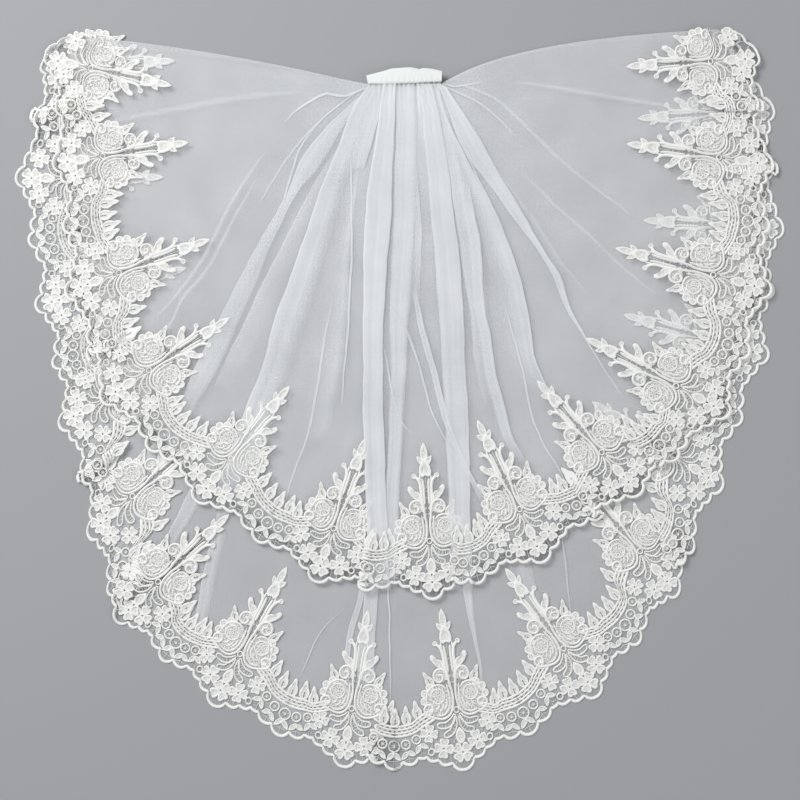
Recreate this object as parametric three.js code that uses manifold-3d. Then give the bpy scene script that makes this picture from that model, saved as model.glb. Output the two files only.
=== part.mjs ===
import * as THREE from "three";
import { mergeVertices } from "three/addons/utils/BufferGeometryUtils.js";
import Module from "manifold-3d";

// A two-tier bridal veil of tulle with a wide scalloped lace border, laid flat on a floor.
// Millimetres. X runs across the header, -Y down the length of the veil and Z up from the floor.
// The origin is on the floor under the middle of the comb.

const wasm = await Module();
wasm.setup();

// Cloth and clearances
const GAP = 0.3;
const TULLE_WALL = 1.2;
const LACE_WALL = 1.2;
const UPPER_TIER_FLOOR = 5;

// Header: a ribbon band round the gathered fold, on a comb
const HEADER_HALF = 38;
const HEADER_CENTRE_X = 1;
const HEADER_MOUTH_Y = -4;
const HEADER_TUCK = 12;
const BAND_WALL = 1.2;
const BAND_BACK_Y = 11;
const BAND_LEFT = -39;
const BAND_RIGHT = 41;
const BAND_ROUNDING = 3;
const BAND_INNER_BEVEL = 1.2;
const CLOTH_AT_HEADER = 3;
const COMB_WIDTH = 75;
const COMB_SPINE_DEPTH = 10;
const COMB_SPINE_HEIGHT = 4;
const COMB_TOOTH_COUNT = 19;
const COMB_TOOTH_WIDTH = 1.9;
const COMB_TOOTH_TIP = 1.1;
const COMB_TOOTH_LENGTH = 29;
const COMB_TOOTH_HEIGHT = 2;
const COMB_TOOTH_ROOT = 2;

// Lace border: one repeat runs from one large scallop to the next
const REPEAT_WIDTH = 160;
const SPIRE_DEPTH = 170;
const SPIRE_ZONE = 150;
const SWAG_MEAN_DEPTH = 58;
const SWAG_SWING = 10;
const SWAG_HALF_WIDTH = 5;
const HEM_STEP = 1 / 6;
const COLUMN_CLEARANCE = 0.05;
const CUT_MARGIN = 0.02;

// Folds and gathers of the tulle
const FOLD_RISE = 3.5;
const FOLD_EDGE = 0.03;
const FOLD_CLEARANCE = 0.066;
const GATHER_RISE = 1.7;
const GATHER_SPREAD = 0.9;
const GATHER_REACH = 66;
const GATHER_STEP = 0.125;
const GATHERED_HALF_SPAN = 2;
const WING_STEP = 0.6;
const WING_SHARE = 2;
const LEFT_WING_LIFT = 12;
const RIGHT_WING_LIFT = 24;
const WING_LIFT_REPEATS = 1.5;
const FOLDED_EDGE_REACH = 2.5;
const HEADER_EDGE_REACH = 1.2;

// The hem of each tier. A row for each large scallop, and one for each corner on the folded edge:
// place along the lace in repeats, scallop tip x and y, tip of its spire x and y.
const LOWER_HEM = [
  [-0.29, -365, 52, -201, 19],
  [0, -390, 14, -222, -9],
  [1, -416, -103, -258, -102],
  [2, -395, -240, -233, -199],
  [3, -370, -367, -223, -287],
  [4, -339, -485, -209, -374],
  [5, -308, -578, -187, -463],
  [6, -205, -668, -125, -519],
  [7, -66, -734, -38, -565],
  [8, 67, -737, 40, -563],
  [9, 209, -658, 109, -520],
  [10, 295, -549, 184, -424],
  [11, 343, -434, 202, -342],
  [12, 392, -294, 236, -249],
  [13, 408, -158, 247, -149],
  [14, 398, -30, 240, -41],
  [14.59, 363, 59, 204, 41],
];
const UPPER_HEM = [
  [-0.21, -365, 52, -201, 19],
  [0, -384, 24, -222, -9],
  [1, -373, -89, -216, -67],
  [2, -362, -226, -207, -169],
  [3, -323, -342, -186, -253],
  [4, -222, -449, -122, -326],
  [5, -95, -535, -41, -382],
  [6, 32, -554, 21, -386],
  [7, 151, -514, 79, -362],
  [8, 253, -442, 143, -320],
  [9, 349, -356, 195, -274],
  [10, 394, -224, 226, -178],
  [11, 396, -90, 231, -66],
  [12, 381, 22, 220, 14],
  [12.25, 363, 59, 204, 41],
];

// Each tier's border is joined from two lengths of lace, in the middle of a swag.
const LOWER_SPLIT = 7.46;
const UPPER_SPLIT = 6.46;

// The largest folds: place along the hem in repeats and width there in repeats.
const LOWER_FOLDS = [
  [4.7, 0.2],
  [5.75, 0.16],
  [7.1, 0.18],
  [8.2, 0.16],
  [10.1, 0.2],
];
const UPPER_FOLDS = [
  [3.6, 0.14],
  [4.15, 0.26],
  [5.5, 0.26],
  [6.25, 0.2],
  [6.95, 0.14],
  [8.35, 0.2],
];

// Stations down the tulle, from inside the band to the tulle's edge under the swag. Stations
// by reach are that far from the header, and stations by share lie between those and the spires.
// Heights are above the tier's own floor.
const LOWER_STATIONS = [
  { reach: 0, tuck: HEADER_TUCK, low: 5.8, high: 8.8, fold: 0, gather: 0, edgeLow: 5.8, edgeHigh: 8.8 },
  { reach: 0, tuck: 0, low: 5.8, high: 8.8, fold: 0, gather: 0, edgeLow: 5.8, edgeHigh: 8.8 },
  { reach: 34, tuck: 0, low: 2.6, high: 5.6, fold: 0, gather: 0, edgeLow: 2.6, edgeHigh: 5.6 },
  { reach: GATHER_REACH, tuck: 0, low: 0, high: 2.6, fold: 0.3, gather: 0, edgeLow: 0, edgeHigh: 2.2 },
  { share: 0.35, tuck: 0, low: 0, high: 1.2, fold: 1, gather: 0, edgeLow: 0, edgeHigh: 1.2 },
  { share: 0.8, tuck: 0, low: 0, high: 1.2, fold: 1, gather: 0, edgeLow: 0, edgeHigh: 1.2 },
  { share: 1, tuck: 0, low: 0, high: 1.2, fold: 0, gather: 0, edgeLow: 0, edgeHigh: 1.2 },
];
const UPPER_STATIONS = [
  { reach: 0, tuck: HEADER_TUCK, low: 4.1, high: 7.1, fold: 0, gather: 0, edgeLow: 4.1, edgeHigh: 6.5 },
  { reach: 0, tuck: 0, low: 4.1, high: 7.1, fold: 0, gather: 0, edgeLow: 4.1, edgeHigh: 6.5 },
  { reach: 34, tuck: 0, low: 2, high: 5, fold: 0.2, gather: 1, edgeLow: 1, edgeHigh: 3.2 },
  { reach: GATHER_REACH, tuck: 0, low: 0.2, high: 2.8, fold: 0.7, gather: 0.9, edgeLow: -2.3, edgeHigh: 0.4 },
  { share: 0.18, tuck: 0, low: 0, high: 1.8, fold: 1, gather: 0.6, edgeLow: -3.2, edgeHigh: -0.3 },
  { share: 0.42, tuck: 0, low: 0, high: 1.3, fold: 1, gather: 0.25, edgeLow: -3.5, edgeHigh: -0.5 },
  { share: 0.8, tuck: 0, low: 0, high: 1.2, fold: 0.9, gather: 0, edgeLow: -3.5, edgeHigh: -0.5 },
  { share: 1, tuck: 0, low: 0, high: 1.2, fold: 0, gather: 0, edgeLow: -3.5, edgeHigh: -0.5 },
];

// One repeat of the lace, from its large scallop at 0 to the middle of the swag at 80 mm along,
// and mirrored to the other side. Depth is measured inwards from the tips of the large scallops.
// Scallops: the large one's own points, as shares of its half width and depths, then for each
// small one its middle along the hem, half width and depth of the tip.
const LARGE_SCALLOP_HALF = 13.5;
const LARGE_SCALLOP_EDGE = [[-0.78, 6], [-0.4, 0.7], [0.4, 0.7], [0.78, 6]];
const SCALLOPS = [
  [21, 7.5, 8],
  [36, 7.5, 14],
  [52.6, 9.1, 18],
  [70.9, 9.1, 17.5],
];
const NOTCH_DEPTH = 4.5;

// Inner outline: along, depth. Leaves on the swag, egg scroll, sprout, small scroll and spire.
const INNER_OUTLINE = [
  [80, 78],
  [74, 58],
  [67, 80],
  [61, 61],
  [54, 84],
  [46, 67],
  [38, 84],
  [30, 92],
  [28, 107],
  [20, 99],
  [17, 109],
  [8, 112],
  [17, 127],
  [6, 124],
  [10, 138],
  [5, 149],
];
const SPIRE_TIP = [0, 170];

// Gaps cut through, the largest of each repeat: along, depth, half size along, half size in depth.
const GAPS = [
  [9, 33, 3.6, 4.3],
  [24, 44, 4, 3.6],
  [56, 33, 3.8, 3.8],
  [72, 34, 3.8, 3.8],
];

// The gap under the large scallop's flower is three-sided.
const SCALLOP_GAP = [[-4, 9], [0, 3.6], [4, 9]];

const TULLE_COLOUR = 0xeef1f2;
const LACE_COLOUR = 0xf4f2ea;
const RIBBON_COLOUR = 0xe6ece9;
const COMB_COLOUR = 0xdfe3e2;

function makeTier(floor, hemTable, folds, stations, gathered, split) {
  const places = hemTable.map(([place]) => place);
  const scallopTips = hemTable.map(([, x, y]) => new THREE.Vector2(x, y));
  const spireTips = hemTable.map(([, , , x, y]) => new THREE.Vector2(x, y));
  return {
    floor,
    folds,
    stations,
    gathered,
    split,
    places,
    start: places[0],
    end: places[places.length - 1],
    hem: new THREE.SplineCurve(scallopTips),
    spires: new THREE.SplineCurve(spireTips),
  };
}

// The hem's curves are read by row, so a place in repeats is first turned into a share of rows.
function rowShare(tier, place) {
  const last = tier.places.length - 1;
  const row = Math.max(0, Math.min(last - 1, tier.places.findIndex((p) => p > place) - 1));
  const at = tier.places[last] <= place ? last - 1 : row;
  const span = tier.places[at + 1] - tier.places[at];
  return (at + (place - tier.places[at]) / span) / last;
}

// A point of the border, with its depth measured from the hem towards the spire's tip.
function borderPoint(tier, place, depth) {
  const share = rowShare(tier, place);
  const hem = tier.hem.getPoint(share);
  const spire = tier.spires.getPoint(share);
  return hem.lerp(spire, depth / SPIRE_DEPTH);
}

function swagDepth(place) {
  return SWAG_MEAN_DEPTH + SWAG_SWING * Math.cos(2 * Math.PI * place);
}

// Where the ray that ends at a place on the hem leaves the header.
function headerX(tier, place) {
  const middle = (tier.start + tier.end) / 2;
  const half = (tier.end - tier.start) / 2;
  const gathered = (HEADER_HALF - WING_SHARE) * Math.tanh((place - middle) / GATHER_SPREAD);
  return HEADER_CENTRE_X + gathered + (WING_SHARE * (place - middle)) / half;
}

// How far the rounded fold along a wing stands out: sideways in the header, then square to the edge.
function foldedEdge(tier, atStart, station) {
  const side = atStart ? -1 : 1;
  if (station.reach === 0) {
    return new THREE.Vector2(side * HEADER_EDGE_REACH, 0);
  }
  const place = atStart ? tier.start : tier.end;
  const hem = borderPoint(tier, place, 0);
  const along = borderPoint(tier, place, SPIRE_DEPTH).sub(hem).normalize();
  return new THREE.Vector2(side * along.y, -side * along.x).multiplyScalar(FOLDED_EDGE_REACH);
}

// How far a ray bows upwards. Only the wings' edges do, next to the folded edge.
function wingLift(tier, place) {
  const left = Math.max(0, 1 - (place - tier.start) / WING_LIFT_REPEATS) * LEFT_WING_LIFT;
  const right = Math.max(0, 1 - (tier.end - place) / WING_LIFT_REPEATS) * RIGHT_WING_LIFT;
  return left + right;
}

// The tulle's edge lies just inside the swag of the border.
function tulleEdge(tier, place) {
  return borderPoint(tier, place, swagDepth(place) + SWAG_HALF_WIDTH + GAP);
}

// The tulle runs in rays from the header to its edge. A station lies a stated reach from the
// header, or at a share of the way from the gathers to the zone of the spires.
function rayPoint(tier, place, station) {
  const from = new THREE.Vector2(headerX(tier, place), HEADER_MOUTH_Y);
  const to = tulleEdge(tier, place);
  const length = from.distanceTo(to);
  const bend = from.clone().lerp(to, 0.5);
  bend.y += wingLift(tier, place);
  const open = length - SPIRE_ZONE - GATHER_REACH;
  const reach = station.share === undefined ? station.reach : GATHER_REACH + open * station.share;
  const point = new THREE.QuadraticBezierCurve(from, bend, to).getPoint(reach / length);
  point.y += station.tuck;
  return point;
}

function foldHeight(tier, place) {
  return tier.folds.some(([middle, width]) => Math.abs(place - middle) < (width + FOLD_EDGE) / 2) ? 1 : 0;
}

// Columns of the tulle near the header: wide in the wings and close in the gathers.
function plainColumns(tier) {
  const middle = (tier.start + tier.end) / 2;
  const places = [];
  const step = tier.gathered ? GATHER_STEP : 2 * GATHER_STEP;
  for (let place = tier.start; place < tier.end - step; ) {
    places.push(place);
    place += Math.abs(place - middle) < GATHERED_HALF_SPAN ? step : WING_STEP;
  }
  return [...places, tier.end];
}

// From the gathers to the spires, a pair of columns on each side of a fold takes over.
function foldColumns(tier) {
  const kept = plainColumns(tier).filter((place) =>
    tier.folds.every(([at, width]) => Math.abs(place - at) > width / 2 + FOLD_CLEARANCE)
  );
  for (const [at, width] of tier.folds) {
    kept.push(at - width / 2 - FOLD_EDGE, at - width / 2);
    kept.push(at + width / 2, at + width / 2 + FOLD_EDGE);
  }
  return kept.sort((a, b) => a - b);
}

function hemColumns(tier) {
  const places = [tier.start, tier.split, tier.end];
  const first = Math.ceil((tier.start + COLUMN_CLEARANCE) / HEM_STEP);
  for (let place = first * HEM_STEP; place < tier.end - COLUMN_CLEARANCE; place += HEM_STEP) {
    if (Math.abs(tier.split - place) > COLUMN_CLEARANCE) {
      places.push(place);
    }
  }
  return places.sort((a, b) => a - b);
}

function withEdges(tier, row, station) {
  const first = row[0];
  const last = row[row.length - 1];
  const left = foldedEdge(tier, true, station);
  const right = foldedEdge(tier, false, station);
  const low = tier.floor + station.edgeLow;
  const high = tier.floor + station.edgeHigh;
  const before = { place: first.place - 1, x: first.x + left.x, y: first.y + left.y, low, high };
  const after = { place: last.place + 1, x: last.x + right.x, y: last.y + right.y, low, high };
  return [before, ...row, after];
}

function tulleRow(tier, columns, station) {
  const middle = (tier.start + tier.end) / 2;
  const row = columns.map((place, index) => {
    const point = rayPoint(tier, place, station);
    const inGathers = tier.gathered && Math.abs(place - middle) < GATHERED_HALF_SPAN;
    const gather = inGathers && index % 2 ? GATHER_RISE * station.gather : 0;
    const fold = foldHeight(tier, place) * FOLD_RISE * station.fold;
    const high = tier.floor + station.high + Math.max(fold, gather);
    return { place, x: point.x, y: point.y, low: tier.floor + station.low, high };
  });
  return withEdges(tier, row, station);
}

function tulleHemRow(tier) {
  const row = hemColumns(tier).map((place) => {
    const point = tulleEdge(tier, place);
    return { place, x: point.x, y: point.y, low: tier.floor, high: tier.floor + TULLE_WALL };
  });
  return withEdges(tier, row, tier.stations[tier.stations.length - 1]);
}

// Triangles between two rows that may have different columns.
function zipRows(near, far, nearStart, farStart, triangles) {
  let i = 0;
  let j = 0;
  while (i < near.length - 1 || j < far.length - 1) {
    const nearNext = i + 1 < near.length ? near[i + 1].place : Infinity;
    const farNext = j + 1 < far.length ? far[j + 1].place : Infinity;
    if (nearNext <= farNext) {
      triangles.push([nearStart + i, farStart + j, nearStart + i + 1]);
      i += 1;
    } else {
      triangles.push([nearStart + i, farStart + j, farStart + j + 1]);
      j += 1;
    }
  }
}

// A closed wall from rows of points that each have a low and a high side.
function closedSheet(rows) {
  const points = rows.flat();
  const count = points.length;
  const top = [];
  let start = 0;
  for (let r = 0; r < rows.length - 1; r += 1) {
    zipRows(rows[r], rows[r + 1], start, start + rows[r].length, top);
    start += rows[r].length;
  }
  const edges = new Set(top.flatMap(([a, b, c]) => [`${a},${b}`, `${b},${c}`, `${c},${a}`]));
  const triangles = [];
  for (const [a, b, c] of top) {
    triangles.push([a, b, c], [a + count, c + count, b + count]);
    for (const [from, to] of [[a, b], [b, c], [c, a]]) {
      if (!edges.has(`${to},${from}`)) {
        triangles.push([to, from, from + count], [to, from + count, to + count]);
      }
    }
  }
  const high = points.flatMap((p) => [p.x, p.y, p.high]);
  const low = points.flatMap((p) => [p.x, p.y, p.low]);
  const geometry = new THREE.BufferGeometry();
  geometry.setAttribute("position", new THREE.Float32BufferAttribute([...high, ...low], 3));
  geometry.setIndex(triangles.flat());
  return geometry;
}

function tulleGeometry(tier) {
  const plain = plainColumns(tier);
  const folded = foldColumns(tier);
  const rows = tier.stations.map((station) => tulleRow(tier, station.fold ? folded : plain, station));
  rows.push(tulleHemRow(tier));
  return closedSheet(rows);
}

function toSolid(geometry) {
  const plain = geometry.clone();
  plain.deleteAttribute("normal");
  plain.deleteAttribute("uv");
  const merged = mergeVertices(plain, 1e-4);
  const vertProperties = new Float32Array(merged.attributes.position.array);
  const triVerts = new Uint32Array(merged.index.array);
  return new wasm.Manifold(new wasm.Mesh({ numProp: 3, vertProperties, triVerts }));
}

function toGeometry(solid) {
  const mesh = solid.getMesh();
  const geometry = new THREE.BufferGeometry();
  geometry.setAttribute("position", new THREE.Float32BufferAttribute(mesh.vertProperties, 3));
  geometry.setIndex([...mesh.triVerts]);
  return geometry;
}

function plate(outline, holes, low, high) {
  const shape = new THREE.Shape(outline);
  shape.holes = holes.map((hole) => new THREE.Path(hole));
  const geometry = new THREE.ExtrudeGeometry(shape, { depth: high - low, bevelEnabled: false });
  return toSolid(geometry.translate(0, 0, low));
}

// Scallops of one stretch of hem, as places and depths: four points round the large scallop,
// two on a small one, and a notch between neighbours.
function scallopEdge(from, to) {
  const rightSide = [[LARGE_SCALLOP_HALF, LARGE_SCALLOP_EDGE[0][1] + NOTCH_DEPTH]];
  for (const [along, half, tip] of SCALLOPS) {
    rightSide.push([along - half / 2, tip], [along + half / 2, tip], [along + half, tip + NOTCH_DEPTH]);
  }
  const leftSide = rightSide.slice(0, -1).map(([along, depth]) => [-along, depth]);
  const large = LARGE_SCALLOP_EDGE.map(([share, depth]) => [share * LARGE_SCALLOP_HALF, depth]);
  const repeatEdge = [...leftSide.reverse(), ...large, ...rightSide];
  const edge = [];
  for (let repeat = Math.floor(from) - 1; repeat <= Math.ceil(to) + 1; repeat += 1) {
    edge.push(...repeatEdge.map(([along, depth]) => [repeat + along / REPEAT_WIDTH, depth]));
  }
  const inside = edge.filter(([place]) => place > from + CUT_MARGIN && place < to - CUT_MARGIN);
  const cutDepth = SCALLOPS[3][2] + NOTCH_DEPTH;
  return [[from, cutDepth], ...inside, [to, cutDepth]];
}

function innerEdge(from, to) {
  const edge = [];
  const mirrored = INNER_OUTLINE.slice(1).map(([along, depth]) => [-along, depth]);
  const rightSide = [...INNER_OUTLINE].reverse();
  for (let repeat = Math.floor(from) - 1; repeat <= Math.ceil(to) + 1; repeat += 1) {
    for (const [along, depth] of [...mirrored, SPIRE_TIP, ...rightSide]) {
      edge.push([repeat + along / REPEAT_WIDTH, depth]);
    }
  }
  return edge.filter(([place]) => place > from + CUT_MARGIN && place < to - CUT_MARGIN);
}

function gapOutlines(tier, from, to) {
  const outlines = [SCALLOP_GAP];
  for (const [along, depth, halfAlong, halfDepth] of GAPS) {
    for (const side of [-1, 1]) {
      const middle = side * along;
      const near = [middle - halfAlong, depth];
      const far = [middle + halfAlong, depth];
      outlines.push([near, [middle, depth - halfDepth], far, [middle, depth + halfDepth]]);
    }
  }
  const cut = [];
  for (let repeat = Math.floor(from) - 1; repeat <= Math.ceil(to) + 1; repeat += 1) {
    for (const outline of outlines) {
      const corners = outline.map(([along, depth]) => [repeat + along / REPEAT_WIDTH, depth]);
      if (corners.every(([place]) => place > from + CUT_MARGIN && place < to - CUT_MARGIN)) {
        cut.push(corners.map(([place, depth]) => borderPoint(tier, place, depth)));
      }
    }
  }
  return cut;
}

// One stretch of the lace border. The scalloped edge is cut through and lies at the tier's floor,
// the swag is the full height, and leaves, scrolls and spires lie on the tulle.
function laceGeometry(tier, from, to) {
  const inPlan = (edge) => edge.map(([place, depth]) => borderPoint(tier, place, depth));
  const columns = hemColumns(tier).filter((place) => place > from + CUT_MARGIN && place < to - CUT_MARGIN);
  const stations = [from, ...columns, to];
  const swag = (offset) => stations.map((place) => [place, swagDepth(place) + offset]);
  const topOfLace = tier.floor + TULLE_WALL + GAP + LACE_WALL;
  const outerOutline = inPlan([...scallopEdge(from, to), ...swag(-SWAG_HALF_WIDTH).reverse()]);
  const bandOutline = inPlan([...swag(-SWAG_HALF_WIDTH), ...swag(SWAG_HALF_WIDTH).reverse()]);
  const innerOutline = inPlan([...swag(SWAG_HALF_WIDTH), ...innerEdge(from, to).reverse()]);
  const outer = plate(outerOutline, gapOutlines(tier, from, to), tier.floor, tier.floor + LACE_WALL);
  const band = plate(bandOutline, [], tier.floor, topOfLace);
  const inner = plate(innerOutline, [], topOfLace - LACE_WALL, topOfLace);
  return toGeometry(outer.add(band).add(inner));
}

// The ribbon wraps the gathered fold from below, round the back and over the top.
function bandGeometry() {
  const bottom = COMB_SPINE_HEIGHT + GAP;
  const top = bottom + 2 * BAND_WALL + 2 * CLOTH_AT_HEADER + 3 * GAP;
  const back = BAND_BACK_Y - BAND_WALL;
  const arc = BAND_BACK_Y - BAND_ROUNDING;
  const shape = new THREE.Shape();
  shape.moveTo(HEADER_MOUTH_Y, bottom);
  shape.lineTo(arc, bottom);
  shape.absarc(arc, bottom + BAND_ROUNDING, BAND_ROUNDING, -Math.PI / 2, 0, false);
  shape.absarc(arc, top - BAND_ROUNDING, BAND_ROUNDING, 0, Math.PI / 2, false);
  shape.lineTo(HEADER_MOUTH_Y, top);
  shape.lineTo(HEADER_MOUTH_Y, top - BAND_WALL);
  shape.lineTo(back - BAND_INNER_BEVEL, top - BAND_WALL);
  shape.lineTo(back, top - BAND_WALL - BAND_INNER_BEVEL);
  shape.lineTo(back, bottom + BAND_WALL + BAND_INNER_BEVEL);
  shape.lineTo(back - BAND_INNER_BEVEL, bottom + BAND_WALL);
  shape.lineTo(HEADER_MOUTH_Y, bottom + BAND_WALL);
  const settings = { depth: BAND_RIGHT - BAND_LEFT, bevelEnabled: false, curveSegments: 4 };
  const geometry = new THREE.ExtrudeGeometry(shape, settings);
  geometry.rotateX(Math.PI / 2);
  geometry.rotateZ(Math.PI / 2);
  return geometry.translate(BAND_LEFT, 0, 0);
}

function combGeometry() {
  const front = HEADER_MOUTH_Y + 1;
  const spine = new THREE.BoxGeometry(COMB_WIDTH, COMB_SPINE_DEPTH, COMB_SPINE_HEIGHT);
  spine.translate(0, front + COMB_SPINE_DEPTH / 2, COMB_SPINE_HEIGHT / 2);
  const pitch = (COMB_WIDTH - COMB_TOOTH_WIDTH) / (COMB_TOOTH_COUNT - 1);
  const outline = [];
  outline.push(new THREE.Vector2(-COMB_WIDTH / 2, front + COMB_TOOTH_ROOT));
  for (let tooth = 0; tooth < COMB_TOOTH_COUNT; tooth += 1) {
    const middle = -COMB_WIDTH / 2 + COMB_TOOTH_WIDTH / 2 + tooth * pitch;
    outline.push(new THREE.Vector2(middle - COMB_TOOTH_WIDTH / 2, front));
    outline.push(new THREE.Vector2(middle - COMB_TOOTH_TIP / 2, front - COMB_TOOTH_LENGTH));
    outline.push(new THREE.Vector2(middle + COMB_TOOTH_TIP / 2, front - COMB_TOOTH_LENGTH));
    outline.push(new THREE.Vector2(middle + COMB_TOOTH_WIDTH / 2, front));
  }
  outline.push(new THREE.Vector2(COMB_WIDTH / 2, front + COMB_TOOTH_ROOT));
  const teeth = plate(outline, [], 0, COMB_TOOTH_HEIGHT);
  return toGeometry(toSolid(spine).add(teeth));
}

const lower = makeTier(0, LOWER_HEM, LOWER_FOLDS, LOWER_STATIONS, false, LOWER_SPLIT);
const upper = makeTier(UPPER_TIER_FLOOR, UPPER_HEM, UPPER_FOLDS, UPPER_STATIONS, true, UPPER_SPLIT);

const tulle = new THREE.MeshStandardMaterial({ color: TULLE_COLOUR, roughness: 0.9, metalness: 0 });
const lace = new THREE.MeshStandardMaterial({ color: LACE_COLOUR, roughness: 0.8, metalness: 0 });
const ribbon = new THREE.MeshStandardMaterial({ color: RIBBON_COLOUR, roughness: 0.6, metalness: 0 });
const plastic = new THREE.MeshStandardMaterial({ color: COMB_COLOUR, roughness: 0.35, metalness: 0 });

const veil = new THREE.Group();

function addPiece(name, geometry, material) {
  const mesh = new THREE.Mesh(geometry, material);
  mesh.name = name;
  veil.add(mesh);
}

const halfCut = GAP / REPEAT_WIDTH;
addPiece("comb", combGeometry(), plastic);
addPiece("header_band", bandGeometry(), ribbon);
addPiece("lower_tulle", tulleGeometry(lower), tulle);
addPiece("upper_tulle", tulleGeometry(upper), tulle);
addPiece("lower_lace_left", laceGeometry(lower, lower.start, LOWER_SPLIT - halfCut), lace);
addPiece("lower_lace_right", laceGeometry(lower, LOWER_SPLIT + halfCut, lower.end), lace);
addPiece("upper_lace_left", laceGeometry(upper, upper.start, UPPER_SPLIT - halfCut), lace);
addPiece("upper_lace_right", laceGeometry(upper, UPPER_SPLIT + halfCut, upper.end), lace);

export default veil;
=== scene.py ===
import math

import bpy
import numpy as np
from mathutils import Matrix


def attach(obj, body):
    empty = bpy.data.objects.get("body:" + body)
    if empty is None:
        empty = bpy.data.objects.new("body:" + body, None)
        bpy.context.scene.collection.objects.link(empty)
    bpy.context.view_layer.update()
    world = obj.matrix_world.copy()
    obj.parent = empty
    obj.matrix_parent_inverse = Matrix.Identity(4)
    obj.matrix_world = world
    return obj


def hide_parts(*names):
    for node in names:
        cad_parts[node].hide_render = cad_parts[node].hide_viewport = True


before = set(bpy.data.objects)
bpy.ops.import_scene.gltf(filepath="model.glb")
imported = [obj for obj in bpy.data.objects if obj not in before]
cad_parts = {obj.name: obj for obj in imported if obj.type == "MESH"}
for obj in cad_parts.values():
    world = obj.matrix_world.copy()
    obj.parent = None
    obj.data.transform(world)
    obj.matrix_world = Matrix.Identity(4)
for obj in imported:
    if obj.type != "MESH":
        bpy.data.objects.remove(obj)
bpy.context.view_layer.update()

# Comb. A moulded comb of milky plastic, 75 mm wide with nineteen teeth. It is sewn under the
# ribbon of the header and lies on the floor, so little of it shows past the cloth.
COMB_COLOUR = (0.66, 0.68, 0.67, 1)
COMB_MOTTLE = (0.58, 0.6, 0.6, 1)
COMB_GRAIN = 160.0
COMB_ROUGHNESS = (0.26, 0.42)
COMB_RELIEF = 0.0002
COMB_RELIEF_STRENGTH = 0.15


def add_node(tree, kind, settings=None, inputs=None):
    """A node with its settings, and inputs that are values or other nodes' sockets."""
    made = tree.nodes.new(kind)
    for name, value in (settings or {}).items():
        setattr(made, name, value)
    for name, value in (inputs or {}).items():
        if isinstance(value, bpy.types.NodeSocket):
            tree.links.new(value, made.inputs[name])
        else:
            made.inputs[name].default_value = value
    return made


def new_finish(name):
    """A material, its tree and its shader."""
    finish = bpy.data.materials.new(name)
    finish.use_nodes = True
    return finish, finish.node_tree, finish.node_tree.nodes["Principled BSDF"]


def blend_colours(tree, share, low, high):
    """A colour between two, which are values or sockets."""
    inputs = {"Factor": share, "A": low, "B": high}
    return add_node(tree, "ShaderNodeMix", {"data_type": "RGBA"}, inputs).outputs["Result"]


def milky_plastic():
    """Moulded plastic, faintly mottled, whose shine and surface aren't quite even."""
    finish, tree, shader = new_finish("milky_plastic")
    place = add_node(tree, "ShaderNodeTexCoord").outputs["Object"]
    grain = add_node(tree, "ShaderNodeTexNoise", inputs={"Vector": place, "Scale": COMB_GRAIN})
    colour = blend_colours(tree, grain.outputs["Fac"], COMB_MOTTLE, COMB_COLOUR)
    rough = add_node(
        tree,
        "ShaderNodeMapRange",
        inputs={"Value": grain.outputs["Fac"], "To Min": COMB_ROUGHNESS[0],
                "To Max": COMB_ROUGHNESS[1]},
    )
    relief = add_node(
        tree,
        "ShaderNodeBump",
        inputs={"Height": grain.outputs["Fac"], "Strength": COMB_RELIEF_STRENGTH,
                "Distance": COMB_RELIEF},
    )
    tree.links.new(colour, shader.inputs["Base Color"])
    tree.links.new(rough.outputs["Result"], shader.inputs["Roughness"])
    tree.links.new(relief.outputs["Normal"], shader.inputs["Normal"])
    return finish


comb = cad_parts["comb"]
comb.data.materials.clear()
comb.data.materials.append(milky_plastic())

# Lower tier. The longer half of one oval of soft white tulle, folded across at the header,
# gathered there into 80 mm and left to spread to a hem about 2.4 m long. Pressed pleats, a few
# sharp creases and soft waves run down it.
MM = 0.001
REPEAT = 160.0
SPIRE_DEPTH = 170.0
TULLE_END_DEPTH = 28.0
TULLE_THICKNESS = 0.25
FLOOR_GAP = 0.05
HEADER_HALF = 38.0
HEADER_CENTRE = 1.0
HEADER_MOUTH_Y = -4.0
HEADER_TUCK = 10.0
TIER_ROWS = 56
ROW_CROWDING = 1.35

# The gathers: how tightly they are drawn, their number, height and reach, how much they differ in
# height and spacing, where they end at each side and how sharply, and the layers of net that they
# bring together close to the header and further down.
GATHER_SPREAD = 0.9
GATHERED_SHARE = 0.985
GATHER_COUNT = 15
GATHER_DEPTH = 1.0
GATHER_FADE = 40.0
GATHER_UNEVEN = 0.25
GATHER_DRIFT = 1.1
GATHER_EDGE = (0.97, 12)
DRAWN_EDGE = (1.02, 5)
HEADER_LAYERS = 8
HEADER_LAYERS_FADE = 45.0
BODY_LAYERS = 1.3
BODY_LAYERS_FADE = 260.0

# The wings: the width that they take at the header, and how their upper edges bow.
WING_SHARE = 2.0
WING_LIFT_REPEATS = 1.5
LEFT_WING_LIFT = 12.0
RIGHT_WING_LIFT = 36.0
RIGHT_WING_BEND = 0.28
FOLD_ROUNDING = 0.12
FOLD_LAYERS = 1.2

# Soft waves and the gentle swell of the cloth start some way from the header, in mm, and are full
# so much further on; a wave brings a little more net together.
WAVES_START = 20.0
WAVES_FULL = 80.0
WAVE_FULLNESS = 0.35
WAVE_TAPER = (0.12, 0.76)
SWELL_START = 60.0
SWELL_FULL = 120.0
LONG_SWELL = 0.25
LONG_SWELL_SIZE = (31, 43)
SHORT_SWELL = 0.2
SHORT_SWELL_SIZE = (17, 23)

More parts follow.
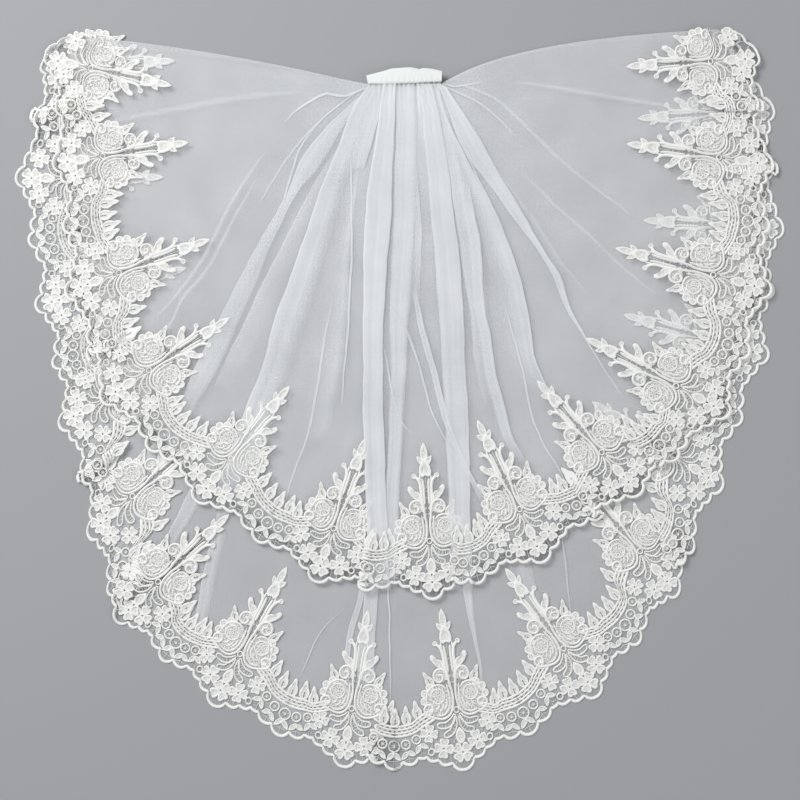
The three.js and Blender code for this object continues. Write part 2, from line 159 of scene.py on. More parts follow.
# The shape of a pleat: a point every so many mm, its section from side to side and the height of
# each point of it, how its line sways, how thick it is, and how high it lies.
PLEAT_STEP = 9.0
PLEAT_ACROSS = [0, 0.06, 0.17, 0.29, 0.41, 0.53, 0.65, 0.77, 0.9, 1]
PLEAT_ROLL = [0.45, 1, 0.9, 0.8, 0.76, 0.74, 0.74, 0.76, 0.8, 0.88, 1, 0.45]
PLEAT_RIM = 1.1
PLEAT_RIM_UNDER = 0.4
PLEAT_UNDER = 0.01
LONG_SWAY = 0.35
SHORT_SWAY = 0.25
PLEAT_LEAST_THICK = 0.3
PLEAT_MOST_THICK = 1.4
LAYER_THICK = 0.18
PLEAT_GAP = 0.12
PLEAT_STACK_STEP = 0.75
PLEAT_HEADER_RISE = 0.9
PLEAT_GATHER_HEIGHT = 0.5
PLEAT_GATHER_FADE = 22.0
PLEAT_GATHER_DRIFT = 1.3
PLEAT_FOOT_FADE = 0.7
CREASE_FADE = 30.0

# How many layers lie together in a pleat: more along a crisp side, and in the header, with broad,
# fine and lengthwise streaks and thinner places between the gathers.
PLEAT_EDGE_LAYERS = 2.2
PLEAT_TOP_FADE = 45.0
PLEAT_HEADER_GAIN = 0.6
PLEAT_HEADER_REACH = 70.0
BROAD_STREAK = 0.13
FINE_STREAK = 0.08
LENGTHWISE_STREAK = 0.12
PLEAT_GATHER_THINNING = 0.55
SHEET_GATHER_THINNING = 0.9

LOWER_EDGE_HEIGHT = 2.0
LOWER_COLUMNS = 200

# The hem: place along the lace in repeats, scallop tip x and y, tip of its spire x and y, in mm.
LOWER_HEM = [
    (-0.29, -365, 52, -215, 30),
    (0, -389, 17, -247, 22),
    (1, -416, -103, -258, -102),
    (2, -395, -240, -233, -199),
    (3, -370, -367, -223, -287),
    (4, -339, -485, -209, -374),
    (5, -308, -578, -187, -463),
    (6, -205, -668, -125, -519),
    (7, -66, -734, -38, -565),
    (8, 67, -737, 40, -563),
    (9, 209, -658, 109, -520),
    (10, 295, -549, 184, -424),
    (11, 343, -434, 202, -342),
    (12, 392, -294, 236, -249),
    (13, 408, -158, 258, -148),
    (14, 398, -30, 252, -39),
    (14.59, 363, 59, 204, 41),
]

# Height of the cloth over the floor against its distance from the header's mouth, in mm.
LOWER_HEIGHTS = [(0, 7.3), (34, 4.2), (66, 1.5), (110, 0.8), (900, 0.5)]

# Pleats pressed flat: how many layers of net, how far up the stack each lies, the length over
# which it fades out at its foot, the share of its width over which each side is soft, and its
# left and right edges from the top down, x and y in mm.
LOWER_PLEATS = [
    (3.6, 0, 40, 0, 0,
     [(-36, -390), (-40, -470), (-47, -541), (-56, -575), (-62, -605), (-63, -660)],
     [(-31, -390), (-35, -470), (-41, -541), (-49, -575), (-56, -605), (-59, -660)]),
    (3.4, 0.6, 40, 0, 0,
     [(-30, -400), (-38, -470), (-42, -546), (-44, -570), (-48, -600), (-50, -650)],
     [(-18, -400), (-24, -470), (-27, -546), (-29, -572), (-31, -620), (-33, -650)]),
    (3.0, 0, 30, 0, 0.3,
     [(52, -380), (58, -460), (62, -533), (70, -575), (78, -612), (84, -655)],
     [(61, -380), (68, -460), (73, -533), (77, -575), (82, -612), (88, -655)]),
    (2.6, 0, 50, 0, 0.5,
     [(-160, -350), (-182, -410), (-200, -465), (-212, -516), (-222, -567), (-228, -600)],
     [(-146, -350), (-166, -410), (-184, -465), (-196, -516), (-207, -567), (-214, -600)]),
    (2.6, 0.3, 40, 0, 0.3,
     [(-192, -370), (-226, -430), (-243, -466), (-264, -505)],
     [(-174, -370), (-206, -430), (-228, -470), (-256, -512)]),
    (1.9, 0.2, 24, 0.1, 0.3,
     [(-236, -352), (-252, -372), (-270, -390), (-294, -411)],
     [(-228, -362), (-245, -384), (-264, -401), (-288, -420)]),
    (1.6, 0.3, 60, 0.5, 0.1,
     [(84, -380), (100, -460), (116, -540), (128, -600)],
     [(104, -380), (124, -460), (142, -540), (156, -600)]),
]

# Creases: layers, place in the stack, width in mm, how soft their sides are, and the line from
# the top down.
LOWER_CREASES = [
    (3.0, 0.6, 2.0, 0, [(-10, -400), (-15, -480), (-17, -542), (-15, -571), (-14, -660)]),
    (1.8, 0.6, 1.6, 0, [(-60, -560), (-90, -590), (-112, -640)]),
    (2.2, 0.6, 1.8, 0, [(152, -420), (166, -470), (176, -540), (180, -585)]),
]

# Soft waves: height, half width, and the line, all in mm.
LOWER_WAVES = [
    (0.9, 9, [(-100, -420), (-124, -520), (-140, -590)]),
    (0.7, 12, [(0, -300), (14, -440), (20, -600)]),
    (0.9, 10, [(110, -330), (150, -440), (190, -540)]),
    (-0.6, 14, [(190, -200), (270, -270), (330, -320)]),
    (0.8, 9, [(-180, -150), (-270, -210), (-330, -240)]),
    (0.7, 12, [(200, -60), (290, -60), (360, -80)]),
]


def curve_through(points, share):
    """Points on the smooth curve through a list, each at its share of the list's length."""
    p = np.asarray(points, float)
    at = np.clip(share, 0, 1) * (len(p) - 1)
    i = np.minimum(at.astype(int), len(p) - 2)
    t = (at - i)[..., None]
    before, first = p[np.maximum(i - 1, 0)], p[i]
    second, after = p[i + 1], p[np.minimum(i + 2, len(p) - 1)]
    start, end = (second - before) / 2, (after - first) / 2
    cubic = (2 * first - 2 * second + start + end) * t**3
    square = (3 * second - 3 * first - 2 * start - end) * t**2
    return cubic + square + start * t + first


def run_along(line):
    """The distance from the line's start to each of its points."""
    return np.concatenate([[0], np.cumsum(np.linalg.norm(np.diff(line, axis=0), axis=1))])


def right_of(slope):
    """Unit vectors to the right of each direction."""
    side = np.stack([slope[:, 1], -slope[:, 0]], 1)
    return side / np.maximum(np.linalg.norm(side, axis=1, keepdims=True), 1e-6)


def even_points(fine, run, count):
    """So many points evenly along a finely drawn line."""
    at = np.linspace(0, run[-1], count)
    return np.stack([np.interp(at, run, fine[:, k]) for k in range(fine.shape[1])], 1)


def smooth_line(points, step):
    """The curve through a few points, as points about a step apart."""
    fine = curve_through(points, np.linspace(0, 1, 12 * len(points)))
    run = run_along(fine)
    return even_points(fine, run, max(2, int(round(run[-1] / step)) + 1))


def resampled(points, count):
    """The curve through a few points, as so many points."""
    fine = curve_through(points, np.linspace(0, 1, 20 * len(points)))
    return even_points(fine, run_along(fine), count)


def make_tier(hem, floor, heights, edge_height, columns):
    """A tier's hem, the height of what it lies on and of its cloth, and its grid's columns."""
    rows = np.asarray(hem, float)
    reaches, levels = zip(*heights)
    return {
        "places": rows[:, 0],
        "tips": rows[:, 1:3],
        "spires": rows[:, 3:5],
        "floor": floor,
        "reaches": reaches,
        "levels": levels,
        "edge_height": edge_height,
        "columns": columns,
    }


def border_point(tier, place, depth):
    """A point of the border: place in repeats, depth in mm from the scallops' tips."""
    share = np.interp(place, tier["places"], np.linspace(0, 1, len(tier["places"])))
    tip = curve_through(tier["tips"], share)
    spire = curve_through(tier["spires"], share)
    return tip + (spire - tip) * (np.asarray(depth, float) / SPIRE_DEPTH)[..., None]


def header_x(tier, place):
    """Where the net of a place on the hem enters the header: the wings take little of it."""
    start, end = tier["places"][0], tier["places"][-1]
    middle, half = (start + end) / 2, (end - start) / 2
    gathered = (HEADER_HALF - WING_SHARE) * np.tanh((place - middle) / GATHER_SPREAD)
    return HEADER_CENTRE + gathered + WING_SHARE * (place - middle) / half


def ray_point(tier, place, share):
    """A point of the tulle on the ray from the header to a place on the hem."""
    mouth = np.stack([header_x(tier, place), np.full_like(place, HEADER_MOUTH_Y)], -1)
    hem = border_point(tier, place, np.full_like(place, TULLE_END_DEPTH))
    left = np.maximum(0, 1 - (place - tier["places"][0]) / WING_LIFT_REPEATS)
    right = np.maximum(0, 1 - (tier["places"][-1] - place) / WING_LIFT_REPEATS)
    bend = mouth + (hem - mouth) * (0.5 - RIGHT_WING_BEND * right)[..., None]
    bend[..., 1] += LEFT_WING_LIFT * left + RIGHT_WING_LIFT * right
    t = share[..., None]
    return mouth * (1 - t) ** 2 + 2 * bend * t * (1 - t) + hem * t**2


def reach_of(x, y):
    """The distance from the header's mouth."""
    nearest = np.clip(x, HEADER_CENTRE - HEADER_HALF, HEADER_CENTRE + HEADER_HALF)
    return np.hypot(x - nearest, np.minimum(y - HEADER_MOUTH_Y, 0) + 0 * x)


def distance_to_line(x, y, line):
    """How far points are from a line of straight stretches, and where along it, from 0 to 1."""
    near = np.full(x.shape, np.inf)
    along = np.zeros(x.shape)
    last = len(line) - 1
    for i in range(last):
        a, b = np.asarray(line[i], float), np.asarray(line[i + 1], float)
        d = b - a
        t = np.clip(((x - a[0]) * d[0] + (y - a[1]) * d[1]) / (d @ d), 0, 1)
        gap = np.hypot(x - a[0] - t * d[0], y - a[1] - t * d[1])
        closer = gap < near
        near = np.where(closer, gap, near)
        along = np.where(closer, (i + t) / last, along)
    return near, along


def wave_shares(x, y, waves):
    """The height and the fullness that the soft waves add."""
    height = np.zeros(x.shape)
    fullness = np.zeros(x.shape)
    for rise, half_width, line in waves:
        gap, along = distance_to_line(x, y, line)
        ends = np.sin(math.pi * (WAVE_TAPER[0] + WAVE_TAPER[1] * along))
        strength = np.exp(-((gap / half_width) ** 2)) * ends
        height += rise * strength
        fullness += WAVE_FULLNESS * abs(rise) * strength
    return height, fullness


def waves_part(away):
    """How fully the waves are there, from 0 in the header to 1 a hand's width from it."""
    return np.clip((away - WAVES_START) / WAVES_FULL, 0, 1)


def cloth_height(tier, x, y):
    """The height of a tier's net, without its gathers and waves."""
    swell = LONG_SWELL * np.sin(x / LONG_SWELL_SIZE[0]) * np.sin(y / LONG_SWELL_SIZE[1] + 1)
    small = np.sin(x / SHORT_SWELL_SIZE[0] + y / SHORT_SWELL_SIZE[1])
    swell = swell + SHORT_SWELL * small
    away = reach_of(x, y)
    spread = np.clip((away - SWELL_START) / SWELL_FULL, 0, 1)
    return tier["floor"] + np.interp(away, tier["reaches"], tier["levels"]) + swell * spread


def grid_faces(rows, columns, offset=0, flip=False):
    """The quads of a grid of points, row by row."""
    i = np.arange(rows * columns).reshape(rows, columns) + offset
    quads = np.stack([i[:-1, :-1], i[1:, :-1], i[1:, 1:], i[:-1, 1:]], -1).reshape(-1, 4)
    return quads[:, ::-1] if flip else quads


def thin_shell(points, thickness):
    """A closed shell under a grid of points, with its rim."""
    rows, columns = points.shape[:2]
    count = rows * columns
    below = points - np.array([0, 0, thickness])
    index = np.arange(count).reshape(rows, columns)
    rim = np.concatenate([index[0, :-1], index[:-1, -1], index[-1, :0:-1], index[:0:-1, 0]])
    after = np.roll(rim, -1)
    walls = np.stack([rim, after, after + count, rim + count], -1)
    faces = [grid_faces(rows, columns), grid_faces(rows, columns, count, True), walls]
    return np.concatenate([points, below]).reshape(-1, 3), np.concatenate(faces)


def gather_ripple(tier, place, away):
    """The small pleats that the gathering thread draws up, deepest at the header."""
    across = (header_x(tier, place) - HEADER_CENTRE) / HEADER_HALF
    beat = across * GATHER_COUNT * math.pi + GATHER_DRIFT * np.sin(5 * across)
    inside = np.clip((GATHER_EDGE[0] - np.abs(across)) * GATHER_EDGE[1], 0, 1)
    uneven = 1 - GATHER_UNEVEN + GATHER_UNEVEN * np.sin(11 * across + 2)
    return GATHER_DEPTH * uneven * inside * np.cos(beat) * np.exp(-away / GATHER_FADE)


def sheet_grid(tier):
    """Places on the hem and shares of the way there, closer together where the net is gathered."""
    start, end = tier["places"][0], tier["places"][-1]
    half = tier["columns"] // 2
    even = np.linspace(start, end, half)
    drawn = GATHER_SPREAD * np.arctanh(np.linspace(-GATHERED_SHARE, GATHERED_SHARE, half))
    place = np.sort(np.concatenate([even, (start + end) / 2 + drawn]))
    return np.meshgrid(place, np.linspace(0, 1, TIER_ROWS) ** ROW_CROWDING)


def fold_rounding(tier, place):
    """How fully the cloth has risen from the wings' folded edges, from 0 to 1."""
    from_edge = np.minimum(place - tier["places"][0], tier["places"][-1] - place) / FOLD_ROUNDING
    return np.sqrt(np.clip(1 - (1 - np.clip(from_edge, 0, 1)) ** 2, 0, 1))


def tier_sheet(tier, waves):
    """The net of one tier as a thin shell, with how full each point is of gathered layers."""
    place, share = sheet_grid(tier)
    flat = ray_point(tier, place, share)
    x, y = flat[..., 0], flat[..., 1]
    away = reach_of(x, y)
    height, fullness = wave_shares(x, y, waves)
    ripple = gather_ripple(tier, place, away)
    z = cloth_height(tier, x, y) + height * waves_part(away) + ripple
    rounding = fold_rounding(tier, place)
    z = np.where(share > 0, tier["edge_height"] + (z - tier["edge_height"]) * rounding, z)
    z = np.maximum(z, TULLE_THICKNESS + FLOOR_GAP)
    y = np.where(share == 0, y + HEADER_TUCK, y)
    across = np.abs(header_x(tier, place) - HEADER_CENTRE) / HEADER_HALF
    drawn = np.clip((DRAWN_EDGE[0] - across) * DRAWN_EDGE[1], 0, 1)
    layers = 1 + HEADER_LAYERS * drawn * np.exp(-away / HEADER_LAYERS_FADE)
    layers = layers + BODY_LAYERS * drawn * np.exp(-away / BODY_LAYERS_FADE)
    layers = layers + fullness - SHEET_GATHER_THINNING * drawn * np.clip(-ripple, 0, 1)
    layers = layers + FOLD_LAYERS * (1 - rounding) * (share > 0)
    points, faces = thin_shell(np.stack([x, y, z], -1), TULLE_THICKNESS)
    return points, faces, np.tile(layers.ravel(), 2)


def roll_faces(rows, columns, flip=False):
    """The faces of a closed roll of so many rings, with its ends."""
    index = np.arange(rows * columns).reshape(rows, columns)
    turned = np.roll(index, -1, 1)
    sides = np.stack([index[:-1], index[1:], turned[1:], turned[:-1]], -1).reshape(-1, 4)
    faces = [np.roll(sides[:, ::-1], 1, 1) if flip else sides]
    half = columns // 2
    for row, back in ((index[0], flip), (index[-1], not flip)):
        top, bottom = row[:half], row[half:][::-1]
        end = np.stack([top[:-1], top[1:], bottom[1:], bottom[:-1]], -1)
        faces.append(end[:, ::-1] if back else end)
    return np.concatenate(faces)


def pleat_plan(left, right, stack):
    """A pleat seen from above: the run down it, points across it, their shares and its rims."""
    length = run_along(np.asarray(left, float))[-1]
    rows = max(4, int(length / PLEAT_STEP))
    left_edge, right_edge = resampled(left, rows), resampled(right, rows)
    run = np.linspace(0, length, rows)
    sway = LONG_SWAY * np.sin(run / 13 + left[0][0]) + SHORT_SWAY * np.sin(run / 5.3 + stack)
    width = np.linalg.norm(right_edge - left_edge, axis=1)
    rim = (np.minimum(PLEAT_RIM, 0.2 * width) / np.maximum(width, 0.1))[:, None]
    across = rim + (1 - 2 * rim) * np.array(PLEAT_ACROSS)
    across = np.concatenate([0 * rim, across, 1 + 0 * rim], 1)
    flat = left_edge[:, None] + (right_edge - left_edge)[:, None] * across[..., None]
    flat[..., 0] += sway[:, None]
    return run, flat, across, rim


def pleat_layers(layers, phase, run, across, rim, soft_left, soft_right):
    """How many layers lie together: most at crisp sides, fewer towards soft ones, with streaks."""
    crisp = np.where(across < 0.5, 1 - min(1, soft_left * 4), 1 - min(1, soft_right * 4))
    from_side = np.minimum(across, 1 - across) / np.maximum(rim, 0.001)
    edge = PLEAT_EDGE_LAYERS * np.exp(-from_side * 0.9) * crisp
    from_left = np.clip((across + 0.02) / max(soft_left, 0.01), 0, 1)
    from_right = np.clip((1.02 - across) / max(soft_right, 0.01), 0, 1)
    streaks = 1 + BROAD_STREAK * np.sin(across * 9 + phase)
    streaks = streaks + FINE_STREAK * np.sin(across * 23 + run[:, None] / 90)
    full = layers * streaks * (from_left * from_right) ** 1.2 + edge * min(1, layers / 3)
    return full * (1 + LENGTHWISE_STREAK * np.sin(run / 37 + phase))[:, None]


def pressed_pleat(tier, waves, layers, stack, fade, soft_left, soft_right, left, right):
    """A pleat pressed flat: a closed flattened roll of net that lies on the tier."""
    run, flat, across, rim = pleat_plan(left, right, stack)
    x, y = flat[..., 0], flat[..., 1]
    away = reach_of(x, y)
    height, _ = wave_shares(x, y, waves)
    drift = PLEAT_GATHER_DRIFT * np.sin(x / 7)
    gathers = np.cos(x * GATHER_COUNT * math.pi / HEADER_HALF + drift)
    near_header = np.exp(-away / PLEAT_GATHER_FADE)
    rise = PLEAT_GAP + PLEAT_HEADER_RISE * np.exp(-away / GATHER_FADE) + PLEAT_STACK_STEP * stack
    base = cloth_height(tier, x, y) + height * waves_part(away) + rise
    base = base + PLEAT_GATHER_HEIGHT * gathers * near_header
    roll = np.array(PLEAT_ROLL)
    thick = min(PLEAT_MOST_THICK, PLEAT_LEAST_THICK + LAYER_THICK * layers)
    lower = base + thick * np.where(roll < 0.5, PLEAT_RIM_UNDER, PLEAT_UNDER)
    ring_z = np.concatenate([base + thick * roll, lower[:, ::-1]], 1)
    ring_xy = np.concatenate([flat, flat[:, ::-1]], 1)
    points = np.concatenate([ring_xy, ring_z[..., None]], -1)
    full = pleat_layers(layers, left[0][1], run, across, rim, soft_left, soft_right)
    full = full * (1 - PLEAT_GATHER_THINNING * np.clip(-gathers, 0, 1) ** 2 * near_header)
    full = full * (1 + PLEAT_HEADER_GAIN * np.exp(-away / PLEAT_HEADER_REACH))
    full = full * np.clip((run[-1] - run) / max(fade, 1), 0, 1)[:, None] ** PLEAT_FOOT_FADE
    if reach_of(*left[0]) > PLEAT_TOP_FADE:
        full = full * np.clip(run / PLEAT_TOP_FADE, 0, 1)[:, None]
    full = np.concatenate([full, full[:, ::-1]], 1)
    return points.reshape(-1, 3), roll_faces(*points.shape[:2]), full.ravel()


def narrow_crease(tier, waves, layers, stack, width, soft, line):
    """A crease as a very narrow pleat, drawn along one line and tapered at both ends."""
    middle = resampled(line, max(4, len(line) * 3))
    taper = np.sin(np.linspace(0.18, math.pi - 0.18, len(middle)))[:, None] ** 0.5
    half = width / 2 * taper * right_of(np.gradient(middle, axis=0))
    return pressed_pleat(tier, waves, layers, stack, CREASE_FADE, soft, soft,
                         (middle + half).tolist(), (middle - half).tolist())


def joined(parts):
    """One list of points, faces and values from several."""
    points, faces, values, count = [], [], [], 0
    for some_points, some_faces, some_values in parts:
        points.append(some_points)
        faces.extend([int(corner) + count for corner in face] for face in some_faces)
        values.append(some_values)
        count += len(some_points)
    return np.concatenate(points), faces, np.concatenate(values)


def build_mesh(name, points, faces, finish, attributes=()):
    """An object from points in millimetres, with its finish and its attributes."""
    mesh = bpy.data.meshes.new(name)
    mesh.from_pydata((np.asarray(points) * MM).tolist(), [], faces)
    mesh.polygons.foreach_set("use_smooth", [True] * len(mesh.polygons))
    for title, kind, values in attributes:
        layer = mesh.attributes.new(title, kind, "POINT")
        field = "vector" if kind == "FLOAT_VECTOR" else "value"
        layer.data.foreach_set(field, np.asarray(values, np.float32).ravel())
    mesh.materials.append(finish)
    mesh.update()
    piece = bpy.data.objects.new(name, mesh)
    bpy.context.scene.collection.objects.link(piece)
    return piece


NET_COVER = 0.23
NET_COVER_DRIFT = 0.03
NET_STREAKS = 22.0
NET_STREAK_RANGE = (0.3, 0.7)
NET_CELL_DENSITY = 760.0
NET_CELL_UNEVENNESS = 0.3
NET_THREAD_PLACE = (0.3, 0.62)
NET_THREAD_COVER = (-0.1, 0.26)
NET_THREAD_IN_LAYERS = 0.08
NET_COLOUR = (0.93, 0.94, 0.955, 1)
NET_SHADE = (0.86, 0.875, 0.9, 1)
NET_ROUGHNESS = 0.75
NET_SHEEN = 0.25
NET_SHINE = 0.25


def maths(tree, operation, *values, clamp=False):
    """One operation on numbers or sockets."""
    settings = {"operation": operation, "use_clamp": clamp}
    return add_node(tree, "ShaderNodeMath", settings, dict(enumerate(values))).outputs["Value"]


def mapped(tree, value, start, end, low, high, smooth=False):
    """A value stretched from one range to another."""
    settings = {"interpolation_type": "SMOOTHSTEP" if smooth else "LINEAR"}
    inputs = {"Value": value, "From Min": start, "From Max": end, "To Min": low, "To Max": high}
    return add_node(tree, "ShaderNodeMapRange", settings, inputs).outputs["Result"]


def soft_tulle():
    """White net: each side of a layer covers its share, and more where layers lie together."""
    finish, tree, shader = new_finish("soft_tulle")
    place = add_node(tree, "ShaderNodeTexCoord").outputs["Object"]
    cells = add_node(
        tree,
        "ShaderNodeTexVoronoi",
        {"feature": "F1", "voronoi_dimensions": "2D"},
        {"Vector": place, "Scale": NET_CELL_DENSITY, "Randomness": NET_CELL_UNEVENNESS},
    )
    thread = mapped(tree, cells.outputs["Distance"], *NET_THREAD_PLACE, *NET_THREAD_COVER)
    layers = add_node(tree, "ShaderNodeAttribute", {"attribute_name": "layers"}).outputs["Fac"]
    thread_share = mapped(tree, layers, 1, 4, 1, NET_THREAD_IN_LAYERS)
    thread_part = maths(tree, "MULTIPLY", thread, thread_share)
    noise = {"Vector": place, "Scale": NET_STREAKS, "Detail": 2}
    streaks = add_node(tree, "ShaderNodeTexNoise", inputs=noise).outputs["Fac"]
    least, most = NET_COVER - NET_COVER_DRIFT, NET_COVER + NET_COVER_DRIFT
    drift = mapped(tree, streaks, *NET_STREAK_RANGE, least, most)
    cover = maths(tree, "ADD", drift, thread_part, clamp=True)
    open_share = maths(tree, "SUBTRACT", 1.0, cover, clamp=True)
    through = maths(tree, "POWER", open_share, maths(tree, "MULTIPLY", layers, 0.5))
    alpha = maths(tree, "SUBTRACT", 1.0, through, clamp=True)
    tree.links.new(blend_colours(tree, streaks, NET_SHADE, NET_COLOUR), shader.inputs["Base Color"])
    tree.links.new(alpha, shader.inputs["Alpha"])
    shader.inputs["Roughness"].default_value = NET_ROUGHNESS
    shader.inputs["Sheen Weight"].default_value = NET_SHEEN
    shader.inputs["Specular IOR Level"].default_value = NET_SHINE
    return finish


def tier_tulle(name, tier, waves, pleats, creases):
    """A tier's sheet with its pleats and creases, as one piece."""
    parts = [tier_sheet(tier, waves)]
    parts += [pressed_pleat(tier, waves, *row) for row in pleats]
    parts += [narrow_crease(tier, waves, *row) for row in creases]
    points, faces, layers = joined(parts)
    return build_mesh(name, points, faces, tulle_finish, [("layers", "FLOAT", layers)])


def declare_tulle(piece, node):
    """Attaches the tier to the root body and hides the node for which it stands."""
    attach(piece, "root")
    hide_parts(node)


tulle_finish = soft_tulle()
lower = make_tier(LOWER_HEM, 0.0, LOWER_HEIGHTS, LOWER_EDGE_HEIGHT, LOWER_COLUMNS)
lower_tulle = tier_tulle("lower_tier_tulle", lower, LOWER_WAVES, LOWER_PLEATS, LOWER_CREASES)
declare_tulle(lower_tulle, "lower_tulle")

# Lace border of the lower tier. Ivory corded lace, 170 mm deep at its spires, made in repeats of
# 160 mm with flowers, wheels, a swag of doubled cords, two scrolled medallions and a spire. It is
# sewn flat on the edge of the net and tucked over itself where the hem turns.
SCALLOP_NOTCHES = [(12.5, 10.2), (27.2, 15.2), (40.7, 20.4), (51.5, 19.8), (69.4, 15.8)]
SCALLOP_TIPS = [(20.0, 8.8), (34.4, 14.6), (46.2, 18.3), (60.6, 12.2)]
MIDDLE_SCALLOP_TIP = (0, 0)
SEAM_SCALLOP_TIP = (80, 6.8)
SCALLOP_LEANS = {"middle": 1.5, "seam": 1.45, "side": 1.35}

# Cords and bars: width and height.
SCALLOP_CORD = (3.4, 1.8)
BAR = (1.3, 0.9)
WHEEL_CORD = (1.8, 1.7)
SPOKE = (0.9, 0.9)
SPOKES = 8
KNOT_RADIUS = 1.4

# Flowers: middle x and depth, radius and turn in degrees.
MIDDLE_FLOWERS = [(0, 20, 11.2, 45)]
SIDE_FLOWERS = [(20.8, 28, 10.6, 10), (35.4, 44.8, 9.6, 8)]

# Wheels along the swag: middle x and depth, and radius. The one at the seam is made once.
SEAM_WHEELS = [(80, 32.6, 6.9)]
SIDE_WHEELS = [(66, 34.9, 5.7), (52.6, 40.2, 5.4)]

# Leaves: base x and depth, tip x and depth, width, and length of the slot along the midrib.
SEAM_LEAVES = [
    (80, 52.5, 80, 73.5, 11.2, 0.3),
    (80, 26.4, 71.6, 17.2, 5.8, 0),
    (80, 26.4, 88.4, 17.2, 5.8, 0),
]
MIDDLE_LEAVES = [(0, 29, 0, 47, 10.6, 0), (0, 149, 0, 171, 8, 0)]
SIDE_LEAVES = [
    (65, 55.2, 66.4, 76.4, 11.2, 0.3),
    (41.8, 60.6, 45.6, 81.4, 11.2, 0.3),
    (20.6, 91, 30.4, 108.4, 9.4, 0.44),
    (63.4, 27.6, 70.6, 18.6, 5.8, 0),
    (63.4, 27.6, 54, 23.8, 5.8, 0),
    (48.6, 35, 38.2, 30.6, 5.4, 0),
    (48.6, 35, 53.2, 24.4, 5.6, 0),
    (0.8, 146.4, 8, 156.4, 5.8, 0),
]

# The vase on the spire and the frond beside it: their middle and their outline, x and depth.
MIDDLE_SHAPES = [
    ((0, 142), [(-3.2, 133.4), (-6, 135.6), (-6.7, 139.6), (-5.7, 144.8), (-3.6, 150),
                (-1.6, 153.4), (1.6, 153.4), (3.6, 150), (5.7, 144.8), (6.7, 139.6), (6, 135.6),
                (3.2, 133.4), (0, 135.4)]),
]
SIDE_SHAPES = [
    ((11.4, 114.4), [(5.4, 105.6), (9, 108.4), (13.6, 110.8), (17.2, 114.8), (20.2, 119.8),
                     (19.8, 123.4), (17, 124.6), (14.6, 122), (12.6, 119), (8.6, 118), (5.8, 114)]),
]

# Round pads, and the ground of threads under a medallion: middle x and depth, half width and
# half depth.
SIDE_ROUNDS = [
    (12.2, 135, 2.9, 2.9),
    (24.8, 91.2, 4.6, 4.4),
    (30.8, 85.4, 4.6, 4.6),
    (33.2, 77.6, 3.8, 4.4),
    (5, 98.6, 2.4, 2.8),
    (17.6, 85.4, 2.3, 2.2),
    (21.9, 82.2, 2.2, 2.3),
    (20.3, 77.1, 2.2, 2.2),
    (14.9, 77.1, 2.2, 2.2),
    (13.3, 82.2, 2.2, 2.3),
    (17.6, 80.8, 1.7, 1.7),
]
SIDE_GROUNDS = [(17.4, 76.4, 15, 17), (11.6, 101.2, 6.8, 7), (28.4, 68, 5.6, 5.6)]

# Cords on each side of a spire: width, height and the line through x and depth.
SIDE_CORDS = [
    (2.7, 2.0, [(2.5, 104), (2.6, 114), (2.7, 124), (3.6, 132)]),
    (3.4, 1.9, [(5.2, 104), (5.5, 114), (5.7, 123), (6.8, 129), (9, 132.4), (11.6, 134.4)]),
    (2.2, 1.4, [(6.2, 128), (5.8, 136)]),
    (1.3, 1.3, [(1.6, 87), (5, 90), (1.3, 93.4), (4.6, 96.4), (1.3, 99.6), (4.4, 103), (1.2, 106.4)]),
    (2.7, 2.1, [(4.6, 97), (5.4, 104), (9, 108), (14, 108.2), (18, 104.6), (18.4, 99), (14.6, 95.2),
                (10.4, 96.4), (9.2, 100.6), (12, 103), (14, 101)]),
    (2.7, 2.1, [(5.4, 107), (3.6, 101), (3.4, 93), (2, 84), (2, 74), (4, 65.6), (9, 59.6), (15.6, 57.4),
                (22.4, 58.6), (28.6, 61.4), (33.2, 65), (33.8, 70), (30.4, 73.6), (25.8, 72.8),
                (24.2, 69), (26.4, 65.8), (29.6, 67), (29.4, 69.6)]),
    (2.0, 1.9, [(6.6, 92), (5.4, 84), (5.4, 74.6), (7.4, 67.4), (11.6, 62.6), (17, 60.8),
                (22.6, 62.4)]),
    (2.4, 2.0, [(29.4, 79.4), (28, 86), (23.6, 90.6), (17.6, 92.6), (11.6, 91.4), (8.2, 88)]),
    (2.2, 1.9, [(8.8, 77.6), (9, 71.6), (12.4, 66.6)]),
    (2.2, 1.9, [(12.6, 72.6), (14, 68), (17.8, 65)]),
    (2.2, 1.9, [(16.8, 72.4), (18.4, 69), (21.4, 67.4)]),
    (2.0, 1.9, [(24.6, 76.6), (25.6, 80.6), (24, 85.6)]),
]

# Rings of cord: middle x and depth, half width, half depth and width of the cord.
MIDDLE_RINGS = [(0, 64.4, 2.7, 2.9, 1.6)]
SIDE_RINGS = [
    (17.6, 80.8, 7.4, 7.6, 1.7),
    (35.6, 26.2, 3.5, 3.4, 1.9),
]

# Ladders, a loop of cord with rungs across it: middle line and width, then the sizes of the cord
# and how far the first and the last rung stand from the ends.
LADDERS = [
    ([(3, 60), (7, 54), (14, 50.6), (24, 51.4)], 7.6),
    ([(2.4, 57.4), (4.6, 49.4), (9.4, 43), (18.4, 40.2)], 7.6),
]
LADDER_RAIL = (1.8, 1.7)
LADDER_RUNG_STEP = 2.4
LADDER_ENDS = (4.2, 1.4)

